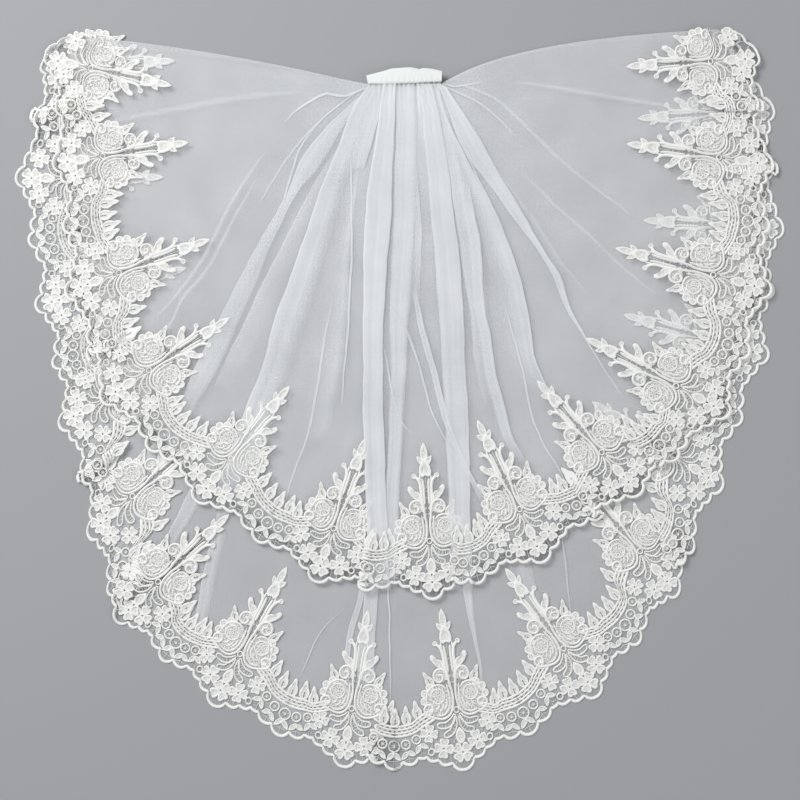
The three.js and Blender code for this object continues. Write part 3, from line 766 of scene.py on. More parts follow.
# Fine bars that tie the pieces together: from x and depth to x and depth.
MIDDLE_BARS = [(0, 60, 0, 47), (-1.8, 111, 1.8, 111), (-1.8, 118, 1.8, 118), (0, 121, 0, 138)]
SEAM_BARS = [(80, 24, 80, 9), (80, 16.6, 74, 16.4), (80, 16.6, 86, 16.4), (80, 40, 80, 43)]
SIDE_BARS = [
    (7.4, 13, 9.6, 9),
    (9.4, 19.4, 13.4, 24.6),
    (13.4, 21.4, 14.4, 13.4),
    (21, 19, 21, 12),
    (27, 22, 28.6, 17.6),
    (29.2, 29.6, 32.4, 28),
    (26.6, 33.4, 29.4, 38),
    (33, 36, 35, 29.6),
    (39.6, 38.6, 44, 34.4),
    (41.6, 46, 47.4, 43),
    (33, 51.6, 33, 58),
    (18.6, 38, 20.4, 35.4),
    (24, 47, 27.6, 45),
    (5.6, 36.6, 8.6, 31.4),
    (35.4, 22.8, 34.6, 17.6),
    (38.6, 24.8, 41.4, 22.6),
    (47.6, 32, 46.6, 21),
    (46.6, 26, 42, 25),
    (62.8, 26, 61, 15),
    (61.6, 20.4, 56.6, 20),
    (61.6, 20.4, 67.4, 17.4),
    (66, 29.4, 64, 26.6),
    (52.6, 45.4, 53, 49),
    (66, 40.4, 66.2, 43),
]

# The swag: its cords' places across it and widths, its ends, the ties between its cords as step,
# length, width and height, and how it runs.
SWAG_CORDS = [(-5.2, 2.6), (-1.8, 2.0), (1.8, 2.0), (5.2, 2.6)]
SWAG_START = 25.0
SWAG_END = 80.0
SWAG_TIE_STEP = 6.6
SWAG_TIE = (3.4, 2.2, 1.2)
SWAG_TIE_ENDS = (3, 2)
SWAG_DEPTH = 58.0
SWAG_RISE = 10.0
CORD_STEP = 2.3
CORD_END_SHARE = 0.45

# Heights of the worked shapes over the ground, in mm.
PETAL_HEIGHT = 1.6
LEAF_HEIGHT = 1.5
VASE_HEIGHT = 1.8
FROND_HEIGHT = 1.7
KNOT_HEIGHT = 1.3
ROUND_HEIGHT = 1.1
GROUND_HEIGHT = 0.7
SWAG_HEIGHT = 1.7
RING_HEIGHTS = (1.6, 1.8)

# Sections of a cord and of a fine bar, and of a pad: share of the way in, height, ground's share,
# the share of the speckled grey that paints shade into the sunken ground along with its own tone.
CORD_SECTION = [(-0.5, 0.0), (-0.42, 0.62), (0.0, 1.0), (0.42, 0.62), (0.5, 0.0)]
BAR_SECTION = [(-0.5, 0.0), (0.0, 1.0), (0.5, 0.0)]
PAD_SECTION = [(0, 0, 0), (0.02, 0.75, 0), (0.16, 1, 0), (0.34, 0.88, 0.05), (0.46, 0.5, 0.5),
               (0.76, 0.46, 0.5)]
SLOT_SECTION = [(1, 0.6, 0.2), (1, 0, 0)]

# Half of a leaf's outline, along it and across it: the large ones have a waist under the tip.
SPADE_SHAPE = [(0, 0.18), (0.08, 0.36), (0.22, 0.49), (0.38, 0.5), (0.52, 0.4), (0.64, 0.26),
               (0.78, 0.22), (0.9, 0.15), (1, 0)]
LEAF_SHAPE = [(0, 0.12), (0.12, 0.34), (0.3, 0.48), (0.5, 0.5), (0.7, 0.4), (0.88, 0.2), (1, 0)]
LEAF_BRIDGES = (0.24, 0.38)

# A petal's outline, along it and across it, with a notch at its end.
PETAL_SHAPE = [(0.07, -0.08), (0.34, -0.36), (0.66, -0.51), (0.93, -0.47), (1.0, -0.24), (0.91, 0.0),
               (1.0, 0.24), (0.93, 0.47), (0.66, 0.51), (0.34, 0.36), (0.07, 0.08)]

# How the lace rests on the tier, which swells under it: from depth, to depth, and height.
REST_GAP = 0.05
REST_STEPS = [(20, 32, 0.5), (46, 76, 0.45)]


def swag_depth(x):
    """The depth at which the swag's middle runs."""
    return SWAG_DEPTH + SWAG_RISE * np.cos(2 * math.pi * np.asarray(x) / REPEAT)


def rest_height(depth):
    """How high the lace lies over the tier's floor: the net comes between them inside the hem."""
    height = REST_GAP
    for start, end, rise in REST_STEPS:
        height = height + rise * np.clip((np.asarray(depth) - start) / (end - start), 0, 1)
    return height


def solid_part(points, faces, stitch):
    """A closed piece of lace: points in x, depth and height, faces, and its stitches' direction,
    whose third number is the share of speckled grey, painted shade with the filling's own tone.
    """
    points = np.array(points, float)
    points[:, 2] += rest_height(points[:, 1])
    return points, faces, np.array(stitch, float)


def ring_walls(near, far, count):
    """The faces between two closed rings of so many points, from their first points' numbers."""
    after = [(i + 1) % count for i in range(count)]
    return [[near + i, near + after[i], far + after[i], far + i] for i in range(count)]


def cord(line, width, height, closed=False):
    """A whipped cord: a closed bar with a rounded top along a line."""
    line = np.asarray(line, float)
    slope = np.roll(line, -1, 0) - np.roll(line, 1, 0) if closed else np.gradient(line, axis=0)
    side = right_of(slope)
    count = len(line)
    narrow = np.ones(count)
    if not closed:
        narrow[0] = narrow[-1] = CORD_END_SHARE
    section = CORD_SECTION if width > BAR[0] else BAR_SECTION
    run = run_along(line)
    points, stitch = [], []
    for i in range(count):
        for offset, rise in section:
            x, v = line[i] + side[i] * offset * width * narrow[i]
            points.append((x, v, rise * height * (0.7 + 0.3 * narrow[i])))
            stitch.append((run[i], offset * width, 0))
    ring = len(section)
    faces = []
    for i in range(count if closed else count - 1):
        faces += ring_walls(i * ring, (i + 1) % count * ring, ring)
    if not closed:
        faces.append(list(range(ring))[::-1])
        faces.append(list(range((count - 1) * ring, count * ring)))
    return solid_part(points, faces, stitch)


def pad(outline, middle, height, slot=None):
    """A worked shape: a raised rim of whipped thread round a sunken filling, or round a slot; the
    filling and the slot's wall take the speckled grey, partly own tone and partly painted shade.
    """
    outer = np.asarray(outline, float)
    centre = np.asarray(middle, float)
    target = np.broadcast_to(centre, outer.shape) if slot is None else np.asarray(slot, float)
    section = PAD_SECTION if slot is None else PAD_SECTION + SLOT_SECTION
    count = len(outer)
    run = run_along(outer)
    points, stitch = [], []
    # Each ring's third number is its share of the speckled grey: painted shade deepening into the dip,
    # with the filling's own tone.
    for share, rise, ground_and_shade in section:
        for i in range(count):
            x, v = outer[i] + (target[i] - outer[i]) * share
            points.append((x, v, rise * height))
            stitch.append((run[i], share * 3, ground_and_shade))
    faces = []
    for level in range(len(section) - 1):
        faces += ring_walls(level * count, (level + 1) * count, count)
    last = (len(section) - 1) * count
    if slot is not None:
        return solid_part(points, faces + ring_walls(last, 0, count), stitch)
    points.append((centre[0], centre[1], 0.6 * height))
    stitch.append((0, 3, 0.35))
    top = len(points) - 1
    faces.extend([last + i, last + (i + 1) % count, top] for i in range(count))
    faces.append(list(range(count))[::-1])
    return solid_part(points, faces, stitch)


def counter_clockwise(outline):
    """The outline turned so that its face looks up."""
    x, v = np.asarray(outline, float).T
    area = np.sum(x * np.roll(v, -1) - np.roll(x, -1) * v)
    return outline if area > 0 else outline[::-1]


def petal(centre, angle, length):
    """A petal with a notched end, as a worked shape with a rim."""
    out = np.array([math.cos(angle), math.sin(angle)])
    side = np.array([-out[1], out[0]])
    outline = [centre + out * a * length + side * b * length for a, b in PETAL_SHAPE]
    return pad(counter_clockwise(outline), centre + out * 0.62 * length, PETAL_HEIGHT)


def flower(x, depth, radius, turn):
    """Four petals round a middle."""
    centre = np.array([x, depth], float)
    return [petal(centre, math.radians(turn + 90 * k), radius) for k in range(4)]


def leaf(base_x, base_v, tip_x, tip_v, width, slot_share):
    """A pointed leaf, wide low down, with a bridged slot along the midrib of the large ones."""
    base, tip = np.array([base_x, base_v], float), np.array([tip_x, tip_v], float)
    out = tip - base
    length = np.linalg.norm(out)
    out /= length
    side = np.array([out[1], -out[0]])
    shape = SPADE_SHAPE if slot_share else LEAF_SHAPE
    whole = shape + [(a, -b) for a, b in shape[-2::-1]]
    outline = [base + out * a * length + side * b * width for a, b in whole]
    if not slot_share:
        return [pad(counter_clockwise(outline), base + out * 0.4 * length, LEAF_HEIGHT)]
    slot = []
    for a, b in whole:
        aside = math.copysign(min(abs(b), 0.1), b)
        slot.append(base + out * (0.1 + slot_share * a) * length + side * aside * 6)
    if counter_clockwise(outline) is not outline:
        slot = slot[::-1]
    parts = [pad(counter_clockwise(outline), base, LEAF_HEIGHT, slot)]
    for share in LEAF_BRIDGES:
        middle = base + out * share * length
        parts.append(cord([middle - side * 0.9, middle + side * 0.9], *BAR))
    return parts


def oval(x, depth, half_width, half_depth):
    """Points round an oval, about a cord's step apart."""
    count = max(10, int(2 * math.pi * max(half_width, half_depth) / CORD_STEP))
    turn = np.linspace(0, 2 * math.pi, count, endpoint=False)
    return np.stack([x + half_width * np.cos(turn), depth + half_depth * np.sin(turn)], 1)


def wheel(x, depth, radius):
    """A ring of cord with a small knot in its middle, held by spokes."""
    hub = np.array([x, depth], float)
    ring = radius - WHEEL_CORD[0] / 2
    parts = [cord(oval(x, depth, ring, ring), *WHEEL_CORD, True)]
    parts.append(pad(oval(x, depth, KNOT_RADIUS, KNOT_RADIUS), hub, KNOT_HEIGHT))
    for k in range(SPOKES):
        turn = (k + 0.5) * 2 * math.pi / SPOKES
        out = np.array([math.cos(turn), math.sin(turn)])
        parts.append(cord([hub + out * 1.1, hub + out * (radius - 1.5)], *SPOKE))
    return parts


def scallop(start, end, tip, lean):
    """One scallop of the hem's cord, from notch to notch; it bulges more the more it leans."""
    turn = np.linspace(-lean, lean, 9)
    side = np.sin(turn) / math.sin(lean)
    sag = (1 - np.cos(turn)) / (1 - math.cos(lean))
    half = np.where(turn < 0, tip[0] - start[0], end[0] - tip[0])
    fall = np.where(turn < 0, start[1] - tip[1], end[1] - tip[1])
    line = np.stack([tip[0] + half * side, tip[1] + fall * sag + SCALLOP_CORD[0] / 2], 1)
    return cord(line, *SCALLOP_CORD)


def ladder(line, width):
    """A rounded loop of cord, narrow at its base, with rungs across it."""
    middle = smooth_line(line, 1.5)
    side = right_of(np.gradient(middle, axis=0))
    share = np.linspace(0, 1, len(middle))
    round_end = np.sqrt(1 - np.clip((share - 0.8) / 0.21, 0, 1) ** 2)
    open_out = np.minimum(1, 0.3 + 2.2 * share) * round_end
    reach = side * (open_out * (width - LADDER_RAIL[0]) / 2)[:, None]
    parts = [cord(np.concatenate([middle - reach, (middle + reach)[::-1]]), *LADDER_RAIL, True)]
    run = run_along(middle)
    for at in np.arange(LADDER_ENDS[0], run[-1] - LADDER_ENDS[1], LADDER_RUNG_STEP):
        i = int(np.searchsorted(run, at))
        parts.append(cord([middle[i] - reach[i], middle[i] + reach[i]], *BAR))
    return parts


def swag_side():
    """The swag's four cords from a medallion to the seam, tied in pairs with open dashes."""
    parts = []
    x = np.linspace(SWAG_START, SWAG_END, int((SWAG_END - SWAG_START) / CORD_STEP))
    for offset, width in SWAG_CORDS:
        parts.append(cord(np.stack([x, swag_depth(x) + offset], 1), width, SWAG_HEIGHT))
    for lane in range(len(SWAG_CORDS) - 1):
        offset = (SWAG_CORDS[lane][0] + SWAG_CORDS[lane + 1][0]) / 2
        start = SWAG_START + SWAG_TIE_ENDS[0] + (lane % 2) * SWAG_TIE_STEP / 2
        for middle in np.arange(start, SWAG_END - SWAG_TIE_ENDS[1], SWAG_TIE_STEP):
            ends = np.array([middle - SWAG_TIE[0] / 2, middle + SWAG_TIE[0] / 2])
            tie = np.stack([ends, swag_depth(ends) + offset], 1)
            parts.append(cord(tie, *SWAG_TIE[1:]))
    return parts


def mirrored(part):
    """A part on the other side of the repeat's axis."""
    points, faces, stitch, *middle = part
    return (points * (-1, 1, 1), [face[::-1] for face in faces], stitch,
            *(spot * (-1, 1, 1) for spot in middle))


def round_pad(x, depth, half_width, half_depth):
    """A round or oval worked spot."""
    return [pad(oval(x, depth, half_width, half_depth), (x, depth), ROUND_HEIGHT)]


def worked_ground(x, depth, half_width, half_depth):
    """A thin plate of crossing threads under the strokes of a medallion."""
    outer = oval(x, depth, half_width, half_depth)
    count = len(outer)
    points = [(*spot, rise) for rise in (0.0, GROUND_HEIGHT) for spot in outer]
    faces = ring_walls(0, count, count)
    faces.append(list(range(count))[::-1])
    faces.append(list(range(count, 2 * count)))
    # Its whole face takes the speckled grey: the filling's own tone, and painted shade where it lies
    # under the medallion's strokes.
    return solid_part(points, faces, [(spot[0], spot[1], 1) for spot in points])


def kept_stiff(parts):
    """Gives pieces one middle, around which they keep their shape where the lace is bent."""
    middle = np.concatenate([points for points, _, _ in parts]).mean(axis=0)
    return [(points, faces, stitch, middle) for points, faces, stitch in parts]


def bar(x1, depth1, x2, depth2):
    """A fine bar between two places."""
    return cord([(x1, depth1), (x2, depth2)], *BAR)


def stiff_parts(make, rows):
    """The pieces made from rows of sizes, each of which keeps its shape when it is laid."""
    return [part for row in rows for part in kept_stiff(make(*row))]


def lace_middle():
    """The pieces on a repeat's axis and at its seam, which are made once."""
    first, last = SCALLOP_NOTCHES[0], SCALLOP_NOTCHES[-1]
    seam_end = (2 * SEAM_SCALLOP_TIP[0] - last[0], last[1])
    parts = [
        scallop((-first[0], first[1]), first, MIDDLE_SCALLOP_TIP, SCALLOP_LEANS["middle"]),
        scallop(last, seam_end, SEAM_SCALLOP_TIP, SCALLOP_LEANS["seam"]),
    ]
    parts += stiff_parts(wheel, SEAM_WHEELS) + stiff_parts(flower, MIDDLE_FLOWERS)
    parts += stiff_parts(leaf, SEAM_LEAVES + MIDDLE_LEAVES)
    parts += [bar(*row) for row in MIDDLE_BARS + SEAM_BARS]
    for middle, outline in MIDDLE_SHAPES:
        parts += kept_stiff([pad(counter_clockwise(outline), middle, VASE_HEIGHT)])
    for x, depth, half_width, half_depth, width in MIDDLE_RINGS:
        parts.append(cord(oval(x, depth, half_width, half_depth), width, RING_HEIGHTS[0], True))
    return parts


def lace_side():
    """The pieces on one side of a repeat, which its other side mirrors."""
    parts = []
    for k, tip in enumerate(SCALLOP_TIPS):
        start, end = SCALLOP_NOTCHES[k], SCALLOP_NOTCHES[k + 1]
        parts.append(scallop(start, end, tip, SCALLOP_LEANS["side"]))
    parts += stiff_parts(flower, SIDE_FLOWERS) + stiff_parts(wheel, SIDE_WHEELS)
    parts += stiff_parts(leaf, SIDE_LEAVES)
    for middle, outline in SIDE_SHAPES:
        parts += kept_stiff([pad(counter_clockwise(outline), middle, FROND_HEIGHT)])
    parts += stiff_parts(round_pad, SIDE_ROUNDS)
    parts += [worked_ground(*row) for row in SIDE_GROUNDS]
    for x, depth, half_width, half_depth, width in SIDE_RINGS:
        parts.append(cord(oval(x, depth, half_width, half_depth), width, RING_HEIGHTS[1], True))
    for width, height, line in SIDE_CORDS:
        parts.append(cord(smooth_line(line, CORD_STEP), width, height))
    for line, width in LADDERS:
        parts += ladder(line, width)
    parts += [bar(*row) for row in SIDE_BARS]
    return parts + swag_side()


def lace_repeat():
    """All closed pieces of one repeat; a stiff one also has the middle about which it is stiff."""
    side = lace_side()
    return lace_middle() + side + [mirrored(part) for part in side]


LACE_COLOUR = (0.97, 0.965, 0.94, 1)
LACE_SHADE = (0.91, 0.9, 0.865, 1)
# Speckled grey of the sunken parts: partly the filling's own tone and openings, partly painted shade in
# the dips.
LACE_SHADED_GROUND_PALE = (0.84, 0.835, 0.81, 1)
LACE_SHADED_GROUND_DEEP = (0.4, 0.4, 0.39, 1)
LACE_PATCH_DENSITY = 55
LACE_GRAIN_DENSITY = 640
LACE_GRAIN_RANGE = (0.38, 0.62)
LACE_STITCH_DENSITY = 0.72
LACE_STITCH_UNEVENNESS = 1.2
LACE_STITCH_RELIEF = 0.0002
LACE_STITCH_STRENGTH = 0.5
LACE_ROUGHNESS = 0.62
LACE_SHEEN = 0.3
LACE_SHINE = 0.35


def corded_lace():
    """Ivory thread with a soft sheen and fine satin stitches across each cord and petal; its sunken
    parts are painted a speckled grey, partly their own duller thread and partly painted shade.
    """
    finish, tree, shader = new_finish("corded_lace")
    place = add_node(tree, "ShaderNodeTexCoord").outputs["Object"]
    patches = {"Vector": place, "Scale": LACE_PATCH_DENSITY, "Detail": 4}
    blotch = add_node(tree, "ShaderNodeTexNoise", inputs=patches).outputs["Fac"]
    along = add_node(tree, "ShaderNodeAttribute", {"attribute_name": "stitch"}).outputs["Vector"]
    # The stitch attribute's third number: each point's share of the speckled grey, painted shade in the
    # dips as well as the filling's own tone.
    ground_and_shade = add_node(tree, "ShaderNodeSeparateXYZ", inputs={"Vector": along}).outputs["Z"]
    grains = {"Vector": place, "Scale": LACE_GRAIN_DENSITY, "Detail": 1}
    grain = add_node(tree, "ShaderNodeTexNoise", inputs=grains).outputs["Fac"]
    spread = mapped(tree, grain, *LACE_GRAIN_RANGE, 0, 1)
    thread = blend_colours(tree, blotch, LACE_SHADE, LACE_COLOUR)
    shaded_ground_speckle = blend_colours(tree, spread, LACE_SHADED_GROUND_DEEP, LACE_SHADED_GROUND_PALE)
    colour = blend_colours(tree, ground_and_shade, thread, shaded_ground_speckle)
    stitches = add_node(
        tree,
        "ShaderNodeTexWave",
        {"bands_direction": "X", "wave_profile": "SIN"},
        {"Vector": along, "Scale": LACE_STITCH_DENSITY, "Distortion": LACE_STITCH_UNEVENNESS,
         "Detail": 1},
    )
    bump = {"Height": stitches.outputs["Fac"], "Strength": LACE_STITCH_STRENGTH,
            "Distance": LACE_STITCH_RELIEF}
    relief = add_node(tree, "ShaderNodeBump", inputs=bump)
    tree.links.new(colour, shader.inputs["Base Color"])
    tree.links.new(relief.outputs["Normal"], shader.inputs["Normal"])
    shader.inputs["Roughness"].default_value = LACE_ROUGHNESS
    shader.inputs["Sheen Weight"].default_value = LACE_SHEEN
    shader.inputs["Specular IOR Level"].default_value = LACE_SHINE
    return finish


# Inputs of the tree that lays the lace.
LAY_INPUTS = [
    ("Repeat", "Object"),
    ("Guide", "Object"),
    ("First Repeat", "Int"),
    ("Repeats", "Int"),
    ("Repeat Width", "Float"),
    ("Spire Depth", "Float"),
    ("Stiff From", "Float"),
    ("Stiff Full", "Float"),
    ("Stiff Half Width", "Float"),
    ("Soft Half Width", "Float"),
    ("From", "Float"),
    ("To", "Float"),
    ("Guide Start", "Float"),
    ("Thread", "Material"),
]


def new_tree(name, inputs):
    """A geometry tree and its named inputs."""
    tree = bpy.data.node_groups.new(name, "GeometryNodeTree")
    for title, kind in inputs:
        tree.interface.new_socket(title, in_out="INPUT", socket_type="NodeSocket" + kind)
    tree.interface.new_socket("Geometry", in_out="OUTPUT", socket_type="NodeSocketGeometry")
    return tree, add_node(tree, "NodeGroupInput").outputs


def end_tree(tree, geometry, finish):
    """Makes every copy real, gives it its material and ends the tree."""
    plain = add_node(tree, "GeometryNodeRealizeInstances", inputs={"Geometry": geometry})
    inputs = {"Geometry": plain.outputs["Geometry"], "Material": finish}
    painted = add_node(tree, "GeometryNodeSetMaterial", inputs=inputs)
    out = add_node(tree, "NodeGroupOutput")
    tree.links.new(painted.outputs["Geometry"], out.inputs["Geometry"])
    return tree


def curve_of(tree, line):
    """The curve along an object's edges."""
    shown = add_node(tree, "GeometryNodeObjectInfo", inputs={"Object": line})
    inputs = {"Mesh": shown.outputs["Geometry"]}
    return add_node(tree, "GeometryNodeMeshToCurve", inputs=inputs).outputs["Curve"]


def vector_maths(tree, operation, first, second=None):
    """One operation on vectors; a vector is scaled by a number."""
    inputs = {0: first}
    if second is not None:
        inputs["Scale" if operation == "SCALE" else 1] = second
    made = add_node(tree, "ShaderNodeVectorMath", {"operation": operation}, inputs)
    return made.outputs["Vector"]


def stored(tree, name, kind="FLOAT_VECTOR"):
    """What a mesh's attribute says at a point."""
    made = add_node(tree, "GeometryNodeInputNamedAttribute", {"data_type": kind}, {"Name": name})
    return made.outputs["Attribute"]


def split_vector(tree, vector):
    """The three numbers of a vector."""
    return add_node(tree, "ShaderNodeSeparateXYZ", inputs={"Vector": vector}).outputs


def row_of_repeats(tree, given):
    """Copies of the repeat side by side, from the first one on."""
    motif = add_node(tree, "GeometryNodeObjectInfo", inputs={"Object": given["Repeat"]})
    first = maths(tree, "MULTIPLY", given["First Repeat"], given["Repeat Width"])
    start = add_node(tree, "ShaderNodeCombineXYZ", inputs={"X": first})
    stride = add_node(tree, "ShaderNodeCombineXYZ", inputs={"X": given["Repeat Width"]})
    spots = add_node(
        tree,
        "GeometryNodeMeshLine",
        inputs={"Count": given["Repeats"], "Start Location": start.outputs["Vector"],
                "Offset": stride.outputs["Vector"]},
    )
    inputs = {"Points": spots.outputs["Mesh"], "Instance": motif.outputs["Geometry"]}
    copies = add_node(tree, "GeometryNodeInstanceOnPoints", inputs=inputs).outputs["Instances"]
    real = add_node(tree, "GeometryNodeRealizeInstances", inputs={"Geometry": copies})
    return real.outputs["Geometry"]


def cut_to_length(tree, given, lace, x):
    """Leaves out each part whose middle lies before or past the strip's ends."""
    middle = maths(tree, "ADD", x, stored(tree, "to_part_middle", "FLOAT"))
    before = maths(tree, "LESS_THAN", middle, given["From"])
    after = maths(tree, "GREATER_THAN", middle, given["To"])
    inputs = {"Geometry": lace, "Selection": maths(tree, "ADD", before, after)}
    cut = add_node(tree, "GeometryNodeDeleteGeometry", {"domain": "POINT"}, inputs)
    return cut.outputs["Geometry"]


def stiffness(tree, given, beside, depth):
    """From 0 on the hem to 1 inside the swag near a spire's axis, where the lace lies straight."""
    inner = mapped(tree, depth, given["Stiff From"], given["Stiff Full"], 0, 1, True)
    far = maths(tree, "ABSOLUTE", beside)
    near = mapped(tree, far, given["Stiff Half Width"], given["Soft Half Width"], 1, 0, True)
    return maths(tree, "MULTIPLY", inner, near)


def guide_value(tree, path, name, length):
    """What the guide says at a length along it."""
    settings = {"data_type": "FLOAT_VECTOR", "mode": "LENGTH", "use_all_curves": True}
    inputs = {"Curves": path, "Value": stored(tree, name), "Length": length}
    return add_node(tree, "GeometryNodeSampleCurve", settings, inputs).outputs["Value"]


def laid_spot(tree, path, length, inward, height):
    """Where a share of the spire's depth and a height lie at a length along the guide."""
    across = vector_maths(tree, "SCALE", guide_value(tree, path, "inward", length), inward)
    rise = vector_maths(tree, "SCALE", guide_value(tree, path, "up", length), height)
    in_plan = vector_maths(tree, "ADD", guide_value(tree, path, "tip", length), across)
    return vector_maths(tree, "ADD", in_plan, rise)


def laying_tree():
    """Repeats of the lace side by side, each point then laid where the hem's guide says."""
    tree, given = new_tree("lay_lace_along_hem", LAY_INPUTS)
    path = curve_of(tree, given["Guide"])
    place = add_node(tree, "GeometryNodeInputPosition").outputs["Position"]
    own = split_vector(tree, place)
    lace = cut_to_length(tree, given, row_of_repeats(tree, given), own["X"])
    to_middle = stored(tree, "to_stiff_middle")
    spot = split_vector(tree, vector_maths(tree, "ADD", place, to_middle))
    reach = maths(tree, "SUBTRACT", spot["X"], given["Guide Start"])
    half_on = maths(tree, "MULTIPLY_ADD", given["Repeat Width"], 0.5, spot["X"])
    axis = maths(tree, "SNAP", half_on, given["Repeat Width"])
    axis_reach = maths(tree, "SUBTRACT", axis, given["Guide Start"])
    beside = maths(tree, "SUBTRACT", spot["X"], axis)
    inward = maths(tree, "DIVIDE", spot["Y"], given["Spire Depth"])
    bent = laid_spot(tree, path, reach, inward, own["Z"])
    aside = vector_maths(tree, "SCALE", guide_value(tree, path, "beside", axis_reach), beside)
    on_axis = laid_spot(tree, path, axis_reach, inward, own["Z"])
    straight = vector_maths(tree, "ADD", on_axis, aside)
    shares = {0: stiffness(tree, given, beside, spot["Y"]), 4: bent, 5: straight}
    laid = add_node(tree, "ShaderNodeMix", {"data_type": "VECTOR"}, shares).outputs[1]
    offset = split_vector(tree, to_middle)
    unit = vector_maths(tree, "NORMALIZE", guide_value(tree, path, "inward", reach))
    back_in = vector_maths(tree, "SCALE", unit, offset["Y"])
    back_aside = vector_maths(tree, "SCALE", guide_value(tree, path, "beside", reach), offset["X"])
    back = vector_maths(tree, "ADD", back_in, back_aside)
    inputs = {"Geometry": lace, "Position": vector_maths(tree, "SUBTRACT", laid, back)}
    moved = add_node(tree, "GeometryNodeSetPosition", inputs=inputs)
    return end_tree(tree, moved.outputs["Geometry"], given["Thread"])


def bake_tree(name, tree, values):
    """Runs a geometry tree on an empty mesh and keeps the result as a plain object."""
    carrier = bpy.data.objects.new(name + "_carrier", bpy.data.meshes.new(name + "_carrier"))
    bpy.context.scene.collection.objects.link(carrier)
    modifier = carrier.modifiers.new("made", "NODES")
    modifier.node_group = tree
    for socket in tree.interface.items_tree:
        if socket.in_out == "INPUT" and socket.name in values:
            modifier[socket.identifier] = values[socket.name]
    bpy.context.view_layer.update()
    ready = carrier.evaluated_get(bpy.context.evaluated_depsgraph_get())
    mesh = bpy.data.meshes.new_from_object(ready)
    mesh.name = name
    carrier.modifiers.remove(modifier)
    bpy.data.objects.remove(carrier)
    piece = bpy.data.objects.new(name, mesh)
    bpy.context.scene.collection.objects.link(piece)
    return piece


def repeat_object():
    """One flat repeat, each point with how far it is from its part's middle."""
    parts = lace_repeat()
    shifts, stiff_shifts = [], []
    for part in parts:
        middle = part[3] if len(part) > 3 else part[0].mean(axis=0)
        shift = (middle - part[0]) * (1, 1, 0)
        shifts.append(shift[:, 0])
        stiff_shifts.append(shift if len(part) > 3 else 0 * shift)
    points, faces, stitch = joined([part[:3] for part in parts])
    values = [("stitch", "FLOAT_VECTOR", stitch),
              ("to_part_middle", "FLOAT", np.concatenate(shifts) * MM),
              ("to_stiff_middle", "FLOAT_VECTOR", np.concatenate(stiff_shifts) * MM)]
    return build_mesh("lace_repeat", points, faces, lace_finish, values)


# How the lace is laid: the height of a layer, where it is stiff, how it turns and settles at a
# tuck, and how it goes round the wings' folded edges.
LACE_LAYER = 2.0
STIFF_DEPTHS = (28.0, 72.0)
STIFF_HALF_WIDTHS = (38.0, 64.0)
FOLD_TURN = 3.0
FOLD_SETTLE = 26.0
GUIDE_STEP = 2.0
COURSE_DEPTH = 60.0
COURSE_STEP = 0.01
EDGE_WRAP = 5.0
EDGE_TRIM = 0.03
SHARP_EDGE = 55.0

# Where the lace is tucked over itself: repeat, distance from its scallop, and depth of the tuck.
LOWER_TUCKS = [(0, 71, 16), (3, 74, 13), (4, 104, 23), (7, 36, 12), (10, 34, 14), (13, 71, 16)]
LOWER_SPLIT = 7.5


def tucked_places(natural, tucks):
    """Where the lace lies once it is tucked, in repeats, and how far it is turned and lifted."""
    place = natural / REPEAT
    turn = np.zeros(len(natural))
    lift = np.zeros(len(natural))
    for repeat, at, depth in tucks:
        own = natural - repeat * REPEAT
        here = (own >= 0) & (own <= REPEAT)
        scale = 1 / (REPEAT - 2 * depth)
        back = at + 2 * depth
        laid = np.interp(own, [0, at, at + depth, back, REPEAT],
                         [0, at * scale, (at - depth) * scale, at * scale, 1])
        place = np.where(here, repeat + laid, place)
        folds = [at - FOLD_TURN, at + FOLD_TURN, at + depth - FOLD_TURN / 2,
                 at + depth + FOLD_TURN / 2]
        turn += np.interp(own, folds, [0, 1, 1, 2]) % 2 * math.pi * here
        under, over = 2 * LACE_LAYER, 2 * LACE_LAYER + 0.1
        lift += np.interp(own, [*folds, back, back + FOLD_SETTLE],
                          [0, under, under, over, over, 0]) * here
    return place, turn, lift


def line_mesh(name, points, values=()):
    """A line of edges, which the trees read as a curve."""
    line = build_mesh(name, points, [], lace_finish, values)
    count = len(points)
    ends = np.stack([np.arange(count - 1), np.arange(1, count)], 1)
    line.data.edges.add(count - 1)
    line.data.edges.foreach_set("vertices", ends.ravel())
    line.data.update()
    return line


